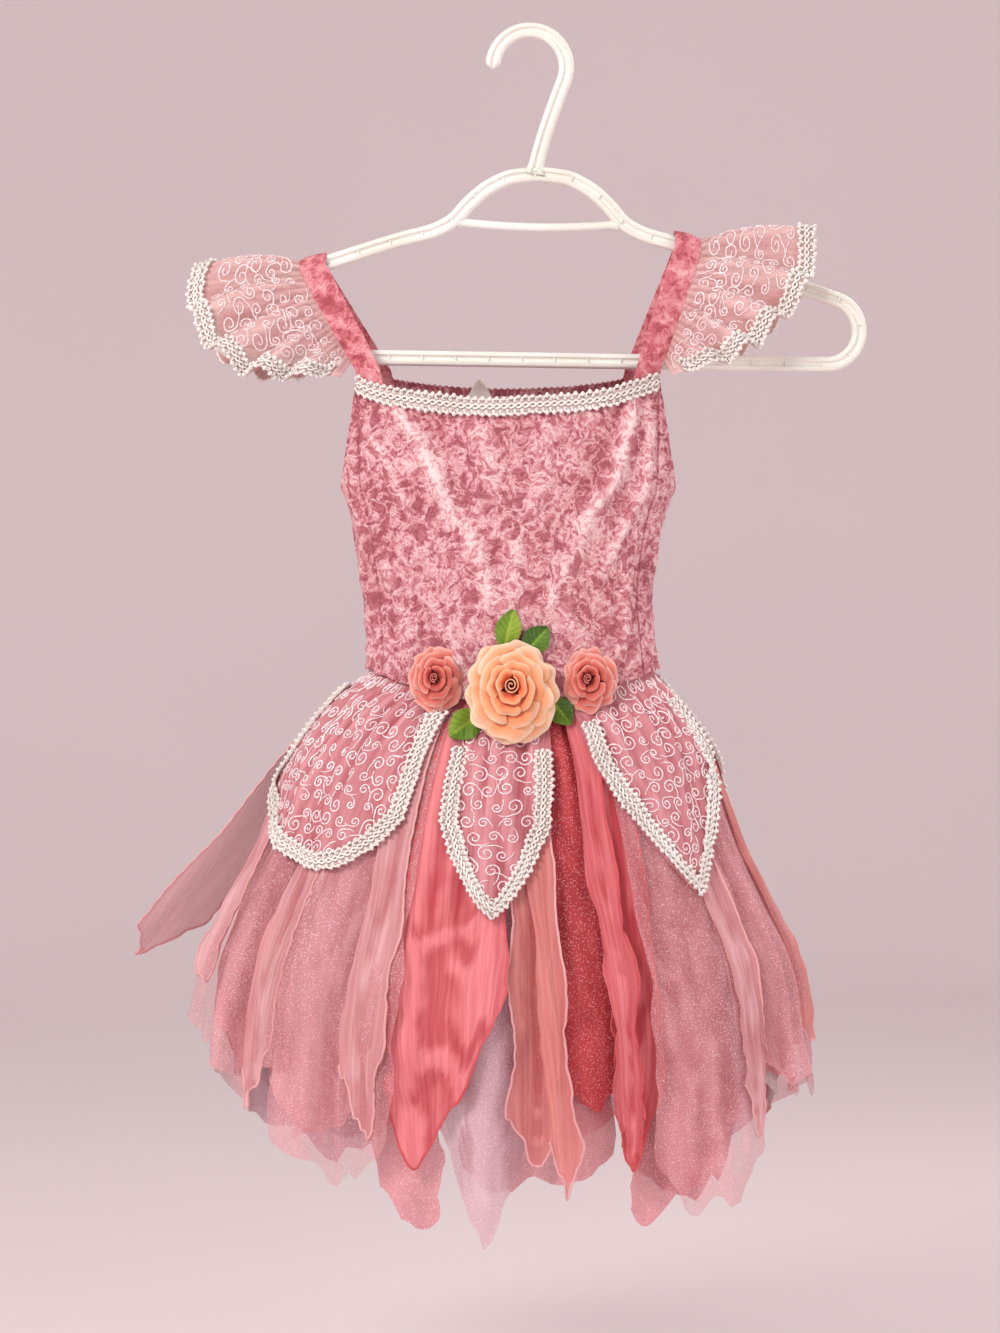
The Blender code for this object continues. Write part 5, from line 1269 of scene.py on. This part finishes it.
def makeSleeves():
    for side in ("left", "right"):
        points, normals, tone = sleeveGrid(side)
        piece = makeCloth("cloth_sleeve_" + side, points, sleeve["sheer"], normals, tone, "sleeve",
                          ["sleeve_" + side])
        braided = slice(sleeve["braidSkips"], -sleeve["braidSkips"])
        edge, normal = points[-1, braided], normals[-2, braided]
        inward = unit(points[-4, braided] - edge)
        line = edge + inward * sleeve["braidInset"] + normal * sleeve["braidLift"]
        braid = makePiece("gimp_sleeve_" + side, gimpBraid(line, normal, -inward), "gimp",
                          ["braid_sleeve_" + side])
        scrolls = makePiece("scroll_sleeve_" + side, sleeveScrolls(points, normals, side), "scroll")
        declareSheet(points)


makeSleeves()
print("sleeves made")


# Neckline braid and labels


def onBodice(angle, height, lift):
    return onSurface(lambda a, down: bodicePoint(a, -down), angle, -height, lift)


neckBraid = {"below": 5.6, "lift": 1.7, "scale": 1.06, "short": 0.8, "stations": 260}


def makeNeckBraid():
    reach = bodice["seam"] - neckBraid["short"]
    angle = np.linspace(-reach, reach, neckBraid["stations"])
    path, normal = onBodice(angle, necklineZ(angle) - neckBraid["below"], neckBraid["lift"])
    edge, _ = onBodice(angle, necklineZ(angle) - 1.0, neckBraid["lift"])
    shape = gimpBraid(path, normal, unit(edge - path), neckBraid["scale"])
    braid = makePiece("gimp_neckline", shape, "gimp", ["braid_neckline"])
    declareSheet(frontMiddle)


satin = {"wall": 0.35, "behind": 1.6}
labels = (
    # node, middle, half width, above and below the back's edge, share of the width at the top, lean
    ("label_folded", -32.0, 12.0, 5.5, 12.0, 0.12, 2.0),
    ("label_flat", -7.0, 12.0, -5.0, 22.0, 1.0, 0.6),
)


def makeLabels():
    rim = dict(zip(("z", "half", "deep", "middle"), bodice["profile"][0]))
    for name, centre, half, above, below, topShare, lean in labels:
        share = np.linspace(0, 1, 30)[:, None]
        across = np.linspace(-1, 1, 30)[None, :]
        x = centre + half * (topShare + (1 - topShare) * share) * across
        angle = 180 - np.degrees(np.arcsin((x - rim["middle"]) / rim["half"]))
        height = backEdgeZ(np.array(180.0)) + above - (above + below) * share + 0 * x
        place, normal = onBodice(angle, height, 0.0)
        away = satin["behind"] + lean * (1 - share) ** 2 * (0.6 + 0.4 * np.cos(2.5 * across))
        middle = place - normal * away[..., None]
        piece = makeCloth("satin_" + name, middle, satin["wall"], -normal, 0.0, "label", [name])
        declareSheet(middle)


makeNeckBraid()
makeLabels()
print("braid and labels made")


# Flowers: rings of curled foam petals, each a curved sheet round the flower's axis


# from a cloth's middle surface to its front
outside = {"velvet": 1.6, "petal": 0.6}


def clothFront(x, z):
    # how far forward the cloth is: velvet above the waist seam, petals and folds below it
    footZ, half, _, centre = bodice["profile"][-1]
    turn = np.arcsin(np.clip((x - centre) / half, -0.99, 0.99))
    velvet = bodicePoint(np.degrees(turn), np.maximum(z, footZ))[..., 1] - outside["velvet"]
    for _ in range(5):
        drop = np.clip(waistZ(np.degrees(turn)) - z, 0, None)
        reached = skirtPoint(np.degrees(turn), drop, 0)
        turn = turn + 0.6 * (x - reached[..., 0]) / (np.abs(np.cos(turn)) * 100 + 20)
    petal = skirtPoint(np.degrees(turn), np.clip(waistZ(np.degrees(turn)) - z, 0, None), 0)[..., 1]
    return np.minimum(velvet, petal - outside["petal"])


# a ring: petals, radius and height at base and tip, half width in degrees, curl, where the first one faces
ringColumns = ("count", "rBase", "rTip", "hBase", "hTip", "half", "curl", "start")
# a bud is its radius, height and turns, a heart the middle's shift to the right and up
roses = (
    {"node": "rose_peach", "x": -11.3, "z": -412.0, "wide": 0.93, "tall": 1.08, "finish": "peach",
     "lift": 3.0, "foam": 0.7, "bud": (5.2, 19.5, 2.2), "heart": (-1.0, 5.5),
     "rings": ((6, 9.0, 32.0, 0.5, 4.6, 33, 5.2, 12), (5, 8.0, 28.5, 3.0, 9.0, 38, 5.0, 50),
               (5, 6.5, 22.5, 5.5, 13.4, 40, 4.6, 5), (4, 5.0, 16.5, 7.5, 17.0, 48, 3.8, 65),
               (3, 3.8, 10.8, 9.0, 19.2, 62, 2.4, 20))},
    {"node": "rose_coral_left", "x": -58.0, "z": -404.0, "wide": 0.86, "tall": 1.02, "finish": "rose",
     "lift": 1.2, "foam": 0.6, "bud": (3.0, 11.8, 1.8), "heart": (-2.0, 1.5),
     "rings": ((6, 5.0, 20.8, 0.5, 3.0, 36, 3.6, 0), (5, 4.5, 17.5, 1.8, 6.4, 40, 3.6, 33),
               (4, 3.6, 13.0, 3.0, 9.4, 48, 3.0, 8), (3, 2.6, 8.2, 4.0, 11.4, 60, 2.0, 50))},
    {"node": "rose_coral_right", "x": 37.0, "z": -404.5, "wide": 0.88, "tall": 1.02, "finish": "rose",
     "lift": 1.2, "foam": 0.6, "bud": (3.0, 11.8, 1.8), "heart": (-2.0, 1.5),
     "rings": ((6, 5.0, 20.8, 0.5, 3.2, 36, 3.6, 25), (5, 4.5, 17.5, 1.8, 6.6, 40, 3.6, 60),
               (4, 3.6, 13.0, 3.0, 9.4, 48, 3.0, 30), (3, 2.6, 8.2, 4.0, 11.4, 60, 2.0, 80))},
)


def foamPetal(rose, ring, number):
    # radius runs out with v, height rises then rolls back over the rim; one side lies over the next petal
    rng = np.random.default_rng(number * 7 + int(ring["rTip"] * 3) + seedOf(rose["node"]))
    u = np.linspace(-1, 1, 17)[None, :]
    v = np.linspace(0, 1, 14)[:, None]
    outerness = ring["rTip"] / rose["rings"][0][2]
    facing = math.radians(ring["start"] + 360 / ring["count"] * number + rng.uniform(-9, 9))
    spread = math.radians(ring["half"]) * (0.5 + 0.5 * np.sin(math.pi / 2 * v)) * rng.uniform(0.94, 1.14)
    notch = 0.07 * np.exp(-(((u - rng.uniform(-0.3, 0.3)) / 0.22) ** 2))
    rim = rng.uniform(0.92, 1.02) - 0.22 * np.abs(u) ** 3.2 - notch
    rim = rim + 0.035 * np.sin(7 * u + rng.uniform(0, 6))
    radius = ring["rBase"] + (ring["rTip"] - ring["rBase"]) * v**0.9 * rim
    height = ring["hBase"] + (ring["hTip"] - ring["hBase"]) * np.sin(math.pi / 2 * v) ** 0.8
    roll = ring["curl"] * rng.uniform(0.7, 1.2) * (v**4 + 0.3 * u**4 * v)
    wave = 0.30 * ring["curl"] * v**2 * np.sin(4.5 * u + rng.uniform(0, 6))
    cup = 0.5 * ring["curl"] * (1 - outerness) * u**2 * v
    overlap = 1.3 * outerness * u * v
    angle = facing + spread * u
    x = rose["x"] + rose["heart"][0] * (1 - outerness) + rose["wide"] * radius * np.cos(angle)
    z = rose["z"] + rose["heart"][1] * (1 - outerness) + rose["tall"] * radius * np.sin(angle)
    grid = np.stack([x, rose["plane"](z) - height + roll + wave - cup - overlap, z], -1)
    # paler out towards the rim with a pale band at the rolled rim; the side tucked under the next petal gets
    # painted shade
    shade = 0.02 + 0.8 * v**1.7 + 0.22 * np.exp(-(((1 - v) / 0.1) ** 2)) + 0.1 * u
    return grid, np.clip(shade * (0.62 + 0.38 * outerness), 0, 1)


def budOf(rose):
    # the heart: one strip wound in a spiral, its rim wavering
    radius, height, turns = rose["bud"]
    t = np.linspace(0, 1, 90)[None, :]
    v = np.linspace(0, 1, 8)[:, None]
    angle = 2 * math.pi * turns * t
    reach = (0.6 + (radius - 0.6) * t) * (0.82 + 0.18 * v)
    x = rose["x"] + rose["heart"][0] * 0.85 + rose["wide"] * reach * np.cos(angle)
    z = rose["z"] + rose["heart"][1] * 0.85 + rose["tall"] * reach * np.sin(angle)
    rise = height * (0.45 + 0.55 * v) - 2.2 * t * v + 0.5 * np.sin(3 * angle) * v
    return np.stack([x, rose["plane"](z) - rise, z], -1), np.clip(0.05 + 0.5 * v + 0 * t, 0, 1)


def footOf(rose):
    # the foot narrows from under the outer petals back to the cloth
    turn = np.linspace(0, 2 * math.pi, 33)[None, :]
    v = np.linspace(0, 1, 8)[:, None]
    reach = rose["rings"][0][2] * (0.66 - 0.3 * v)
    x = rose["x"] + rose["wide"] * reach * np.cos(turn)
    z = rose["z"] + rose["tall"] * reach * np.sin(turn)
    y = (rose["plane"](z) - 2.5) * (1 - v) + (clothFront(x, z) + 0.3) * v
    return np.stack([x, y, z], -1)


def flowerPlane(rose):
    # the flower leans with the cloth under it: a straight line between its node's top and foot
    low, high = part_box(rose["node"])
    top, foot = high[2] / mm, low[2] / mm
    upper, lower = clothFront(np.full(2, rose["x"]), np.array([top, foot])) - rose["lift"]
    return lambda z: upper + (lower - upper) * np.clip((top - z) / (top - foot), -0.1, 1.1)


def makeRoses():
    for rose in roses:
        rose["plane"] = flowerPlane(rose)
        parts = []
        for row in rose["rings"]:
            ring = dict(zip(ringColumns, row))
            for number in range(ring["count"]):
                grid, tone = foamPetal(rose, ring, number)
                parts.append(wallOf(grid, rose["foam"], sideOf(grid, (0, -1, 0)), tone))
        bud, tone = budOf(rose)
        parts += [wallOf(footOf(rose), rose["foam"], 1, 0.35), wallOf(bud, rose["foam"], 1, tone)]
        makePiece("foam_" + rose["node"], joined(parts), rose["finish"], [rose["node"]])


leafWall = 0.45
leafColumns = ("node", "x", "z", "length", "half", "direction", "cup", "tone")
leaves = (
    ("leaf_top_left", -17.0, -386.0, 26.0, 7.5, 76.0, 1.6, 0.75),
    ("leaf_top_right", -4.0, -388.0, 22.0, 8.0, 48.0, 1.6, 0.3),
    ("leaf_low_left", -30.0, -424.0, 25.0, 9.0, 217.0, 1.3, 0.6),
    ("leaf_low_right", 12.0, -415.0, 21.0, 7.5, -52.0, 1.3, 0.4),
)


def makeLeaves():
    for row in leaves:
        leaf = dict(zip(leafColumns, row))
        along = np.linspace(0, 1, 55)[:, None]
        across = np.linspace(-1, 1, 21)[None, :]
        teeth = 1 + 0.11 * (1 - (along * 9 % 1)) * np.sin(math.pi * along)
        belly = np.sin(math.pi * (0.12 + 0.86 * along) ** 1.1) ** 0.8
        outline = np.maximum(leaf["half"] * belly * teeth, 0.3)
        turn = math.radians(leaf["direction"])
        run, side = leaf["length"] * (along + 0.05 * np.abs(across) * (1 - along)), outline * across
        x = leaf["x"] + run * math.cos(turn) - side * math.sin(turn)
        z = leaf["z"] + run * math.sin(turn) + side * math.cos(turn)
        sideVein = ((along * 7 - np.abs(across) * 1.6) % 1 - 0.5) * 7
        vein = np.exp(-((across * 9) ** 2)) + 0.5 * np.exp(-(sideVein**2))
        lift = 1.1 + leaf["cup"] * np.abs(across) * np.sin(math.pi * along) * along - 0.35 * vein
        lift = lift + 1.4 * along**3 + 0.5 * np.sin(5 * along + 2 * across)
        middle = np.stack([x, clothFront(x, z) - lift, z], -1)
        # veins paler; the half on one side of the midrib gets painted shade
        tone = np.clip(leaf["tone"] + 0.45 * vein - 0.25 * (across > 0), 0, 1)
        piece = makeCloth("cloth_" + leaf["node"], middle, leafWall, (0, -1, 0), tone, "leaf", [leaf["node"]])
        declareSheet(middle)


makeRoses()
makeLeaves()
print("flowers and leaves made")


# Studio: a pale floor that curves up all round, soft lights and the photograph's camera

studio = {"floorZ": -860.0, "radius": 3200.0, "bend": 700.0, "topZ": 1500.0, "sides": 96,
          # the camera's place in metres, and the height that its picture takes in at the costume
          "distance": 2.0, "lookX": -0.0189, "lookZ": -0.396, "pictureHeight": 0.8398}


def makeStudio():
    bend, sides = studio["bend"], studio["sides"]
    turn = np.linspace(-math.pi / 2, 0, 24)
    start = studio["radius"] - bend
    flat = np.stack([np.linspace(0.01, start, 12)[:-1], np.full(11, studio["floorZ"])], 1)
    curve = np.stack([start + bend * np.cos(turn), studio["floorZ"] + bend + bend * np.sin(turn)], 1)
    profile = np.concatenate([flat, curve, [[studio["radius"], studio["topZ"]]]])
    around = np.linspace(0, 2 * math.pi, sides, endpoint=False)
    points = np.stack([profile[:, :1] * np.cos(around), profile[:, :1] * np.sin(around),
                       np.broadcast_to(profile[:, 1:], (len(profile), sides))], -1).reshape(-1, 3)
    index = np.arange(len(points)).reshape(-1, sides)
    quads = ringQuads(index[:-1], index[1:])
    mesh = bpy.data.meshes.new("studioSweep")
    mesh.from_pydata((points * mm).tolist(), [], quads.tolist())
    mesh.materials.append(studioPaper())
    mesh.shade_smooth()
    sweep = bpy.data.objects.new("studioSweep", mesh)
    bpy.context.scene.collection.objects.link(sweep)


# place and aim in metres, size, watts, colour
lights = {
    "key": ((-1.2, -1.5, 0.8), (0, 0, -0.4), (0.8, 0.8), 34, (1.0, 0.97, 0.95)),
    "fill": ((1.6, -1.5, -0.1), (0, 0, -0.4), (1.5, 1.5), 12, (0.96, 0.97, 1.0)),
    "back": ((0.9, 0.5, 0.6), (0, 0, -0.45), (0.6, 1.2), 10, (1.0, 0.95, 0.95)),
}


def lightAndCamera():
    scene = bpy.context.scene
    for name, (place, aim, size, watts, colour) in lights.items():
        data = bpy.data.lights.new(name, "AREA")
        data.shape = "RECTANGLE"
        data.size, data.size_y = size
        data.energy, data.color = watts, colour
        lamp = bpy.data.objects.new(name, data)
        scene.collection.objects.link(lamp)
        away = np.array(place) - np.array(aim)
        lean = math.atan2(math.hypot(away[0], away[1]), away[2])
        lamp.location, lamp.rotation_euler = place, (lean, 0, math.atan2(away[0], -away[1]))
    world = bpy.data.worlds.new("studioAir")
    world.use_nodes = True
    air = world.node_tree.nodes["Background"].inputs
    air["Color"].default_value, air["Strength"].default_value = (1.0, 0.98, 0.98, 1.0), 0.35
    scene.world = world
    scene.view_settings.view_transform = "Standard"
    scene.cycles.transparent_max_bounces = 16
    data = bpy.data.cameras.new("photoCamera")
    data.sensor_fit, data.sensor_height = "VERTICAL", 24.0
    data.lens = data.sensor_height * studio["distance"] / studio["pictureHeight"]
    camera = bpy.data.objects.new("photoCamera", data)
    scene.collection.objects.link(camera)
    camera.location = (studio["lookX"], -studio["distance"], studio["lookZ"])
    camera.rotation_euler = (math.pi / 2, 0, 0)
    scene.camera = camera


makeStudio()
lightAndCamera()
